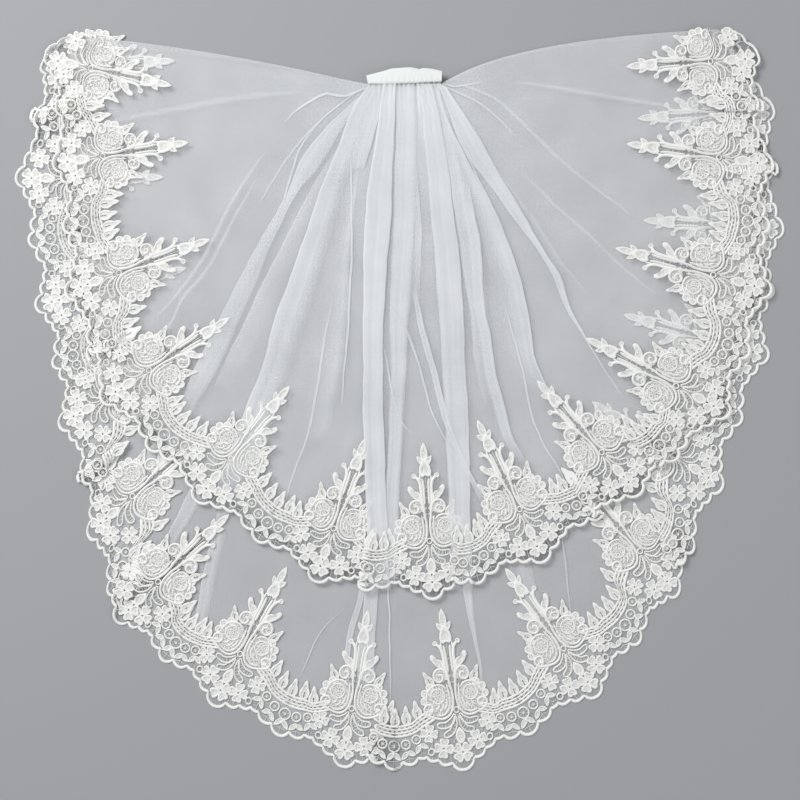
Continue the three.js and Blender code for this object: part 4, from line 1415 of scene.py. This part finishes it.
def hem_guide(tier, tucks, edge_turn):
    """A line as long as the lace, with where each point of it lies, inward and up from there."""
    first, last = tier["places"][0], tier["places"][-1]
    natural = np.arange(first * REPEAT - EDGE_WRAP, last * REPEAT + EDGE_WRAP, GUIDE_STEP)
    level = 0 * natural
    place, turn, lift = tucked_places(natural, tucks)
    inside = np.clip(place, first, last)
    tip = border_point(tier, inside, level)
    inward = border_point(tier, inside, level + SPIRE_DEPTH) - tip
    next_place = np.clip(inside + COURSE_STEP, first, last)
    last_place = np.clip(inside - COURSE_STEP, first, last)
    along = border_point(tier, next_place, level + COURSE_DEPTH)
    along = along - border_point(tier, last_place, level + COURSE_DEPTH)
    along = along / np.linalg.norm(along, axis=1, keepdims=True)
    past = np.maximum(first * REPEAT - natural, 0) - np.maximum(natural - last * REPEAT, 0)
    bent = np.clip(np.abs(past) / EDGE_WRAP, 0, 1) * math.pi / 2
    out = EDGE_WRAP * 0.6 * np.sin(bent) * -np.sign(past)
    flat = tip + along * out[:, None]
    z = tier["floor"] + lift + edge_turn * EDGE_WRAP * 0.5 * (1 - np.cos(bent))
    up = np.stack([along[:, 0] * np.sin(turn), along[:, 1] * np.sin(turn), np.cos(turn)], 1)
    beside = right_of(inward)
    beside *= np.sign(np.sum(beside * along, axis=1, keepdims=True))
    values = [
        ("tip", "FLOAT_VECTOR", np.concatenate([flat, z[:, None]], 1) * MM),
        ("inward", "FLOAT_VECTOR", np.concatenate([inward, level[:, None]], 1) * MM),
        ("up", "FLOAT_VECTOR", up),
        ("beside", "FLOAT_VECTOR", np.concatenate([beside, level[:, None]], 1)),
    ]
    return line_mesh("hem_guide", np.stack([natural, level, level], 1), values)


def lace_strip(name, tier, guide, start, end):
    """A strip of the border, laid along the hem from one place to another."""
    first = math.floor(start)
    piece = bake_tree(name, lay_lace, {
        "Repeat": lace_motif,
        "Guide": guide,
        "First Repeat": first,
        "Repeats": math.ceil(end) - first + 1,
        "Repeat Width": REPEAT * MM,
        "Spire Depth": SPIRE_DEPTH * MM,
        "Stiff From": STIFF_DEPTHS[0] * MM,
        "Stiff Full": STIFF_DEPTHS[1] * MM,
        "Stiff Half Width": STIFF_HALF_WIDTHS[0] * MM,
        "Soft Half Width": STIFF_HALF_WIDTHS[1] * MM,
        "From": start * REPEAT * MM,
        "To": end * REPEAT * MM,
        "Guide Start": tier["places"][0] * REPEAT * MM - EDGE_WRAP * MM,
        "Thread": lace_finish,
    })
    piece.data.set_sharp_from_angle(angle=math.radians(SHARP_EDGE))
    return piece


def declare_lace(piece, node):
    """Attaches a strip as long as its repeats to the root body and hides the node for which it stands.
    """
    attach(piece, "root")
    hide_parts(node)


lace_finish = corded_lace()
lace_motif = repeat_object()
lay_lace = laying_tree()
lower_start, lower_end = lower["places"][0], lower["places"][-1]
lower_guide = hem_guide(lower, LOWER_TUCKS, 1)
lower_lace_left = lace_strip("lower_lace_border_left", lower, lower_guide,
                             lower_start + EDGE_TRIM, LOWER_SPLIT)
lower_lace_right = lace_strip("lower_lace_border_right", lower, lower_guide,
                              LOWER_SPLIT, lower_end - EDGE_TRIM)
bpy.data.objects.remove(lower_guide)
declare_lace(lower_lace_left, "lower_lace_left")
declare_lace(lower_lace_right, "lower_lace_right")

# Upper tier. The shorter half of the same oval, turned over the header's fold so that it lies on
# the lower one. Most of its width is gathered, so broad pleats fan out from the header with thin
# bright edges, and only the wings are a single layer.
UPPER_FLOOR = 5.0
UPPER_EDGE_HEIGHT = 2.6
UPPER_COLUMNS = 220
UPPER_HEM = [
    (-0.21, -365, 52, -222, 26),
    (0, -384, 24, -250, -5),
    (1, -375, -89, -231, -66),
    (2, -362, -226, -207, -169),
    (3, -323, -342, -186, -253),
    (4, -222, -449, -122, -326),
    (5, -95, -535, -41, -382),
    (6, 32, -554, 21, -386),
    (7, 151, -514, 79, -362),
    (8, 253, -442, 143, -320),
    (9, 349, -356, 195, -274),
    (10, 394, -224, 226, -178),
    (11, 396, -90, 239, -67),
    (12, 381, 24, 240, 15),
    (12.25, 363, 59, 204, 41),
]
UPPER_HEIGHTS = [(0, 5.0), (34, 3.3), (66, 2.0), (150, 1.0), (900, 0.5)]
UPPER_PLEATS = [
    (2.4, 0, 50, 0, 0.2,
     [(-36, -8), (-83, -50), (-109, -83), (-121, -113), (-158, -179), (-176, -212), (-194, -249),
      (-218, -296), (-233, -332), (-240, -360)],
     [(-35, -12), (-65, -52), (-90, -93), (-116, -125), (-143, -181), (-155, -212), (-177, -262),
      (-202, -316), (-220, -344), (-229, -366)]),
    (1.5, 0.2, 60, 0, 0.8,
     [(-60, -60), (-90, -100), (-122, -160), (-150, -215), (-176, -270), (-205, -330)],
     [(-54, -64), (-76, -104), (-102, -165), (-128, -225), (-150, -280), (-180, -345)]),
    (3.4, 0.4, 70, 0, 0.55,
     [(-36, -4), (-53, -28), (-68, -65), (-90, -120), (-103, -158), (-121, -210), (-136, -249),
      (-150, -302), (-169, -351), (-200, -440)],
     [(-28, -4), (-30, -24), (-52, -83), (-70, -143), (-80, -181), (-89, -212), (-103, -261),
      (-118, -305), (-128, -332), (-164, -440)]),
    (3.0, 0.9, 14, 0.3, 0,
     [(-32, -4), (-44, -36), (-58, -74), (-60, -100)],
     [(-20, -4), (-24, -30), (-33, -66), (-43, -97)]),
    (2.0, 0.2, 70, 0.7, 0.2,
     [(-48, -80), (-64, -150), (-80, -215), (-92, -270), (-104, -330), (-120, -400)],
     [(-45, -84), (-55, -166), (-58, -243), (-60, -272), (-64, -308), (-78, -380)]),
    (4.6, 1.3, 50, 0, 0,
     [(-22, -4), (-24, -24), (-33, -83), (-41, -143), (-43, -233), (-43, -302), (-43, -362),
      (-40, -447), (-37, -545)],
     [(-8, -4), (-8, -24), (-11, -83), (-13, -143), (-20, -233), (-22, -302), (-21, -362), (-18, -447),
      (-14, -545)]),
    (3.6, 0.5, 70, 0.15, 0.2,
     [(-9, -4), (-8, -40), (-9, -83), (-11, -158), (-15, -233), (-14, -317), (-19, -447), (-20, -540)],
     [(13, -4), (14, -54), (14, -100), (13, -150), (8, -226), (3, -317), (-4, -447), (-5, -540)]),
    (2.0, 0.3, 60, 0.2, 0,
     [(2, -100), (5, -150), (4, -210), (2, -250)],
     [(14, -80), (19, -150), (19, -190), (17, -240)]),
    (3.9, 0.9, 60, 0.1, 0,
     [(13, -4), (19, -30), (23, -73), (29, -143), (35, -212), (41, -302), (45, -377), (48, -447),
      (52, -545)],
     [(30, -4), (37, -30), (45, -73), (54, -143), (62, -212), (66, -302), (70, -377), (71, -447),
      (74, -545)]),
    (3.0, 0.2, 90, 0.1, 0.3,
     [(26, -4), (33, -30), (44, -73), (55, -143), (63, -200), (70, -243), (76, -300), (86, -350)],
     [(37, -4), (46, -24), (60, -80), (74, -136), (84, -180), (90, -240), (96, -290), (106, -340)]),
    (3.6, 0.7, 70, 0.75, 0,
     [(28, -4), (40, -40), (54, -90), (68, -130), (82, -170), (96, -215), (104, -260), (114, -300),
      (134, -350)],
     [(38, -8), (47, -40), (64, -76), (89, -123), (105, -158), (120, -199), (134, -257), (139, -296),
      (161, -343)]),
    (3.2, 1.2, 60, 0.3, 0,
     [(58, -100), (62, -136), (68, -173), (74, -243), (80, -272), (87, -317), (95, -347), (104, -377),
      (122, -412)],
     [(68, -100), (75, -136), (82, -173), (87, -243), (93, -272), (100, -317), (108, -347), (116, -377),
      (133, -410)]),
    (3.6, 0.6, 60, 0.1, 0,
     [(34, -4), (44, -22), (62, -72), (91, -110), (114, -143), (139, -175), (159, -209), (173, -243),
      (196, -280), (232, -338)],
     [(39, -4), (48, -10), (81, -61), (104, -102), (131, -147), (152, -184), (169, -211), (179, -243),
      (206, -293), (236, -338)]),
    (2.9, 1.3, 40, 0, 0,
     [(8, -212), (18, -272), (31, -317), (42, -362), (57, -397), (72, -429), (84, -452)],
     [(12, -212), (25, -272), (38, -317), (49, -362), (63, -397), (78, -429), (90, -452)]),
]
UPPER_CREASES = [
    (3.0, 1.5, 2.2, 0,
     [(58, -60), (89, -123), (105, -158), (120, -199), (134, -257), (139, -296), (161, -343),
      (172, -370)]),
    (2.6, 1.5, 2.0, 0, [(100, -215), (108, -242), (124, -296), (135, -350), (150, -389), (166, -414),
                        (178, -440)]),
    (2.8, 1.8, 1.8, 0, [(-10, -240), (-4, -254), (5, -271), (16, -302), (30, -351), (44, -381),
                        (58, -400)]),
    (2.4, 1.8, 1.7, 0, [(-14, -236), (-8, -248), (6, -271), (18, -308), (22, -330)]),
    (2.4, 1.8, 1.7, 0, [(-26, -270), (-21, -284), (-12, -332), (-2, -364), (12, -377), (24, -380)]),
    (3.2, 1.2, 2.2, 0, [(-52, -60), (-56, -83), (-55, -166), (-58, -243), (-60, -272), (-63, -308),
                        (-66, -350)]),
    (2.2, 1.0, 2.4, 0, [(-74, -220), (-79, -249), (-86, -287), (-94, -339), (-101, -373), (-118, -421),
                        (-126, -450)]),
    (2.6, 1.0, 2.0, 0, [(-80, -34), (-91, -46), (-110, -72), (-125, -117), (-134, -150)]),
    (2.6, 1.0, 2.6, 0, [(-34, -6), (-64, -17), (-84, -14), (-113, -31), (-130, -48)]),
    (1.9, 0.8, 1.8, 0, [(42, -4), (52, -7), (72, -4), (90, 0)]),
    (1.7, 0.8, 2.2, 0, [(42, -6), (58, -13), (80, -24), (103, -42), (126, -66)]),
    (2.0, 0.8, 1.8, 0, [(-40, -6), (-86, -40), (-128, -88), (-158, -140)]),
    (1.7, 0.4, 6, 0.5, [(62, -5), (95, -18), (126, -44), (157, -75), (186, -100), (217, -124),
                        (248, -147)]),
    (1.6, 0.4, 6, 0.5, [(120, -92), (142, -113), (162, -133), (186, -154), (217, -183), (245, -209),
                        (274, -232)]),
    (1.3, 0.4, 7, 0.5, [(110, -2), (142, -4), (183, -11), (222, -17), (256, -23), (296, -28)]),
    (1.6, 0.4, 6, 0.5, [(-140, -66), (-175, -115), (-200, -163), (-219, -197), (-246, -233),
                        (-270, -256)]),
    (1.4, 0.4, 6, 0.5, [(-150, -92), (-175, -136), (-210, -201), (-236, -232), (-247, -256),
                        (-264, -282)]),
    (0.8, 0.4, 9, 0.5, [(-90, -10), (-175, -18), (-248, -31), (-303, -41), (-326, -46)]),
    (0.9, 0.4, 8, 0.5, [(60, -40), (100, -96), (140, -150), (170, -196), (200, -230)]),
]
UPPER_WAVES = [
    (0.9, 8, [(100, -20), (113, -31), (161, -77), (206, -113), (248, -147), (290, -176)]),
    (0.8, 9, [(140, -112), (161, -133), (191, -160), (232, -199), (283, -245)]),
    (0.6, 9, [(150, -4), (187, -11), (285, -27), (330, -30)]),
    (0.7, 8, [(-200, 10), (-159, 6), (-90, 0)]),
    (0.7, 10, [(-330, -50), (-307, -43), (-159, -13), (-100, -8)]),
    (0.9, 9, [(-150, -80), (-178, -117), (-268, -250), (-290, -280)]),
    (0.7, 8, [(-170, -150), (-194, -180), (-243, -248), (-262, -280)]),
    (-0.6, 14, [(200, -240), (250, -290), (290, -330)]),
    (0.7, 12, [(110, -260), (140, -360), (160, -430)]),
    (0.7, 12, [(-120, -300), (-150, -380), (-180, -420)]),
]

upper = make_tier(UPPER_HEM, UPPER_FLOOR, UPPER_HEIGHTS, UPPER_EDGE_HEIGHT, UPPER_COLUMNS)
upper_tulle = tier_tulle("upper_tier_tulle", upper, UPPER_WAVES, UPPER_PLEATS, UPPER_CREASES)
declare_tulle(upper_tulle, "upper_tulle")

# Lace border of the upper tier. The same ivory corded lace, sewn flat on about twelve and a half
# repeats of hem and tucked over itself like the lower one.
UPPER_TUCKS = [(0, 72, 15), (2, 87, 13), (5, 58, 12), (6, 35, 12), (7, 87, 14), (8, 50, 10),
               (11, 72, 16)]
UPPER_SPLIT = 6.5

upper_start, upper_end = upper["places"][0], upper["places"][-1]
upper_guide = hem_guide(upper, UPPER_TUCKS, -1)
upper_lace_left = lace_strip("upper_lace_border_left", upper, upper_guide,
                             upper_start + EDGE_TRIM, UPPER_SPLIT)
upper_lace_right = lace_strip("upper_lace_border_right", upper, upper_guide,
                              UPPER_SPLIT, upper_end - EDGE_TRIM)
bpy.data.objects.remove(upper_guide)
bpy.data.objects.remove(lace_motif)
declare_lace(upper_lace_left, "upper_lace_left")
declare_lace(upper_lace_right, "upper_lace_right")

# Header ribbon. The gathered top is bound in white ribbon, folded over it from behind, so that
# it is about 80 mm long and 16 mm deep. Its upper edge arches and puckers a little where the
# gathers pull, and a row of small stitches holds its lower edge.
RIBBON_TOP = [(-39.5, 5), (-30, 7.4), (-20, 10), (-13, 12.2), (-2, 13.2), (9, 13.6), (17, 11.8),
              (21, 12.8), (31, 12), (41, 9.6)]
RIBBON_FOOT = [(-37.6, -4.6), (-20, -4.8), (0, -4.4), (20, -3.4), (40.6, -2.2)]
RIBBON_COLUMNS = 90
RIBBON_DEPTH = 16
RIBBON_THICKNESS = 0.7
PUCKER = 0.22
PUCKER_DRIFT = 1.5
FOOT_PUCKER = 0.35
END_DROP = 0.5
UPPER_FACE_HEIGHT = 9
# The ribbon's colour, and a darker one painted into the hollows of its wrinkles as shade.
RIBBON_PALE = (0.8, 0.825, 0.81, 1)
RIBBON_SHADE = (0.73, 0.76, 0.745, 1)
RIBBON_RIB_DENSITY = 480
RIBBON_WRINKLE_DENSITY = 130
RIBBON_RIB_UNEVENNESS = 0.6
RIBBON_RIB_RELIEF = 0.0001
RIBBON_RIB_STRENGTH = 0.25
RIBBON_WRINKLE_RELIEF = 0.0009
RIBBON_WRINKLE_STRENGTH = 0.5
RIBBON_ROUGHNESS = 0.5
RIBBON_SHEEN = 0.25

# The ribbon's section from its lower edge behind, over the top and down in front: share of its
# depth, and height in mm.
RIBBON_SECTION = [(0, 4.5), (0.4, 4.35), (0.85, 4.5), (0.97, 5.6), (1, 7.6), (1, 10.2), (0.985, 12),
                  (0.93, 13), (0.8, 13.35), (0.62, 13.25), (0.56, 13.5), (0.4, 13.3), (0.33, 13.55),
                  (0.16, 13.35), (0, 12.9)]

# Stitches along the ribbon's lower edge: their number and size, where the row starts and ends as
# shares of the ribbon's length, its share of the ribbon's depth, and its height.
STITCH_COUNT = 24
STITCH_SIZE = (1.9, 0.45, 0.3)
STITCH_ENDS = (0.03, 0.97)
STITCH_SHARE = 0.1
STITCH_HEIGHT = 13.3
STITCH_INPUTS = [("Line", "Object"), ("Count", "Int"), ("Size", "Vector"), ("Thread", "Material")]


def ribbon_object(finish):
    """The ribbon as one thick sheet folded over the gathers, open towards the cloth."""
    share = np.linspace(0, 1, RIBBON_COLUMNS)
    top, foot = curve_through(RIBBON_TOP, share), curve_through(RIBBON_FOOT, share)
    gathers = np.cos(share * GATHER_COUNT * 2 * math.pi + PUCKER_DRIFT * np.sin(share * 9))
    section = np.asarray(RIBBON_SECTION, float)
    normal = right_of(np.gradient(section * (RIBBON_DEPTH, 1), axis=0))
    inner = section - normal * RIBBON_THICKNESS / (RIBBON_DEPTH, 1)
    ring = np.concatenate([section, inner[::-1]])
    across, height = ring[:, 0], ring[None, :, 1]
    plan = foot[:, None] + (top - foot)[:, None] * across[None, :, None]
    pucker = PUCKER * gathers[:, None] * np.clip(1 - across, 0, 1) ** 2
    ends = END_DROP * np.cos(share * math.pi) ** 8
    in_front = height > UPPER_FACE_HEIGHT
    z = height + pucker * in_front - ends[:, None] * in_front
    plan[..., 1] += FOOT_PUCKER * gathers[:, None] * (across[None] < 0.1)
    points = np.concatenate([plan, z[..., None]], -1)
    faces = roll_faces(*points.shape[:2], True).tolist()
    return build_mesh("header_ribbon", points.reshape(-1, 3), faces, finish)


def satin_ribbon():
    """White ribbon: a fine rib across it, faint wrinkles with painted shade in their hollows, and a
    soft sheen.
    """
    finish, tree, shader = new_finish("satin_ribbon")
    place = add_node(tree, "ShaderNodeTexCoord").outputs["Object"]
    rib = add_node(tree, "ShaderNodeTexWave", {"bands_direction": "Y"},
                   {"Vector": place, "Scale": RIBBON_RIB_DENSITY,
                    "Distortion": RIBBON_RIB_UNEVENNESS}).outputs["Fac"]
    wrinkles = {"Vector": place, "Scale": RIBBON_WRINKLE_DENSITY, "Detail": 3}
    wrinkle = add_node(tree, "ShaderNodeTexNoise", inputs=wrinkles).outputs["Fac"]
    fine = add_node(tree, "ShaderNodeBump",
                    inputs={"Height": rib, "Strength": RIBBON_RIB_STRENGTH,
                            "Distance": RIBBON_RIB_RELIEF})
    relief = add_node(tree, "ShaderNodeBump",
                      inputs={"Height": wrinkle, "Strength": RIBBON_WRINKLE_STRENGTH,
                              "Distance": RIBBON_WRINKLE_RELIEF,
                              "Normal": fine.outputs["Normal"]})
    # Painted shade: the colour darkens where the wrinkles' relief is low.
    colour = blend_colours(tree, wrinkle, RIBBON_SHADE, RIBBON_PALE)
    tree.links.new(colour, shader.inputs["Base Color"])
    tree.links.new(relief.outputs["Normal"], shader.inputs["Normal"])
    shader.inputs["Roughness"].default_value = RIBBON_ROUGHNESS
    shader.inputs["Sheen Weight"].default_value = RIBBON_SHEEN
    return finish


def stitch_row_tree():
    """Small stitches set evenly along a line, turned to follow it."""
    tree, given = new_tree("row_of_stitches", STITCH_INPUTS)
    inputs = {"Curve": curve_of(tree, given["Line"]), "Count": given["Count"]}
    even = add_node(tree, "GeometryNodeResampleCurve", inputs=inputs)
    bead = {"Segments": 8, "Rings": 6, "Radius": 0.5}
    ball = add_node(tree, "GeometryNodeMeshUVSphere", inputs=bead)
    shaped = add_node(tree, "GeometryNodeTransform",
                      inputs={"Geometry": ball.outputs["Mesh"], "Scale": given["Size"]})
    along = add_node(tree, "GeometryNodeInputTangent")
    turn = add_node(tree, "FunctionNodeAlignEulerToVector", {"axis": "X"},
                    {"Vector": along.outputs["Tangent"]})
    placed = add_node(tree, "GeometryNodeInstanceOnPoints",
                      inputs={"Points": even.outputs["Curve"], "Instance": shaped.outputs["Geometry"],
                              "Rotation": turn.outputs["Rotation"]})
    return end_tree(tree, placed.outputs["Instances"], given["Thread"])


def stitch_line():
    """The line of the stitches, a little above the ribbon's lower edge."""
    share = np.linspace(*STITCH_ENDS, 60)
    foot, top = curve_through(RIBBON_FOOT, share), curve_through(RIBBON_TOP, share)
    plan = foot + (top - foot) * STITCH_SHARE
    height = np.full((len(plan), 1), STITCH_HEIGHT)
    return line_mesh("stitch_line", np.concatenate([plan, height], 1))


ribbon = ribbon_object(satin_ribbon())
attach(ribbon, "root")
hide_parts("header_band")
stitch_path = stitch_line()
stitches = bake_tree("header_stitches", stitch_row_tree(), {
    "Line": stitch_path,
    "Count": STITCH_COUNT,
    "Size": tuple(size * MM for size in STITCH_SIZE),
    "Thread": lace_finish,
})
bpy.data.objects.remove(stitch_path)
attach(stitches, "root")

# The floor, the light and the eye: a plain pale floor under soft light, seen from straight above.
# The light comes mostly from a wide window over the header, with a weaker one across from it.
FLOOR_SIZE = 8.0
FLOOR_COLOUR = (0.34, 0.345, 0.355, 1)
FLOOR_ROUGHNESS = 0.9
ROOM_COLOUR = (0.95, 0.97, 1, 1)
ROOM_STRENGTH = 0.5
NET_LAYERS_SEEN = 32
EYE_HEIGHT = 1.6
FRAME_WIDTH = 0.856
FRAME_MIDDLE = (-0.0037, -0.340)
SENSOR = 36.0

# Lamps: name, size, power and place; each is turned to the veil's middle.
LAMPS = [("window", 1.4, 56, (-1.5, 1.1, 1.9)), ("fill", 2.4, 14, (1.6, -1.4, 2.2))]
LAMP_AIM = (0, -0.34, 0)


def pale_floor():
    """The plain matte floor on which the veil is shown."""
    finish, _, shader = new_finish("pale_floor")
    shader.inputs["Base Color"].default_value = FLOOR_COLOUR
    shader.inputs["Roughness"].default_value = FLOOR_ROUGHNESS
    return finish


def add_lamp(name, size, power, place):
    """A round lamp that looks at the middle of the veil."""
    lamp = bpy.data.lights.new(name, "AREA")
    lamp.shape = "DISK"
    lamp.size = size
    lamp.energy = power
    holder = bpy.data.objects.new(name, lamp)
    holder.location = place
    x, y, z = np.asarray(LAMP_AIM) - np.asarray(place)
    holder.rotation_euler = (math.atan2(math.hypot(x, y), -z), 0, math.atan2(y, x) - math.pi / 2)
    bpy.context.scene.collection.objects.link(holder)


half_floor = FLOOR_SIZE / 2 / MM
signs = [(-1, -1), (1, -1), (1, 1), (-1, 1)]
corners = [(x * half_floor, y * half_floor, 0) for x, y in signs]
build_mesh("floor", corners, [[0, 1, 2, 3]], pale_floor())
for row in LAMPS:
    add_lamp(*row)
room = bpy.data.worlds.new("soft_room")
room.use_nodes = True
room.node_tree.nodes["Background"].inputs["Color"].default_value = ROOM_COLOUR
room.node_tree.nodes["Background"].inputs["Strength"].default_value = ROOM_STRENGTH
bpy.context.scene.world = room
bpy.context.scene.view_settings.view_transform = "Standard"
bpy.context.scene.cycles.transparent_max_bounces = NET_LAYERS_SEEN

eye = bpy.data.cameras.new("eye")
eye.sensor_width = SENSOR
eye.lens = SENSOR * EYE_HEIGHT / FRAME_WIDTH
camera = bpy.data.objects.new("eye", eye)
camera.location = (*FRAME_MIDDLE, EYE_HEIGHT)
bpy.context.scene.collection.objects.link(camera)
bpy.context.scene.camera = camera
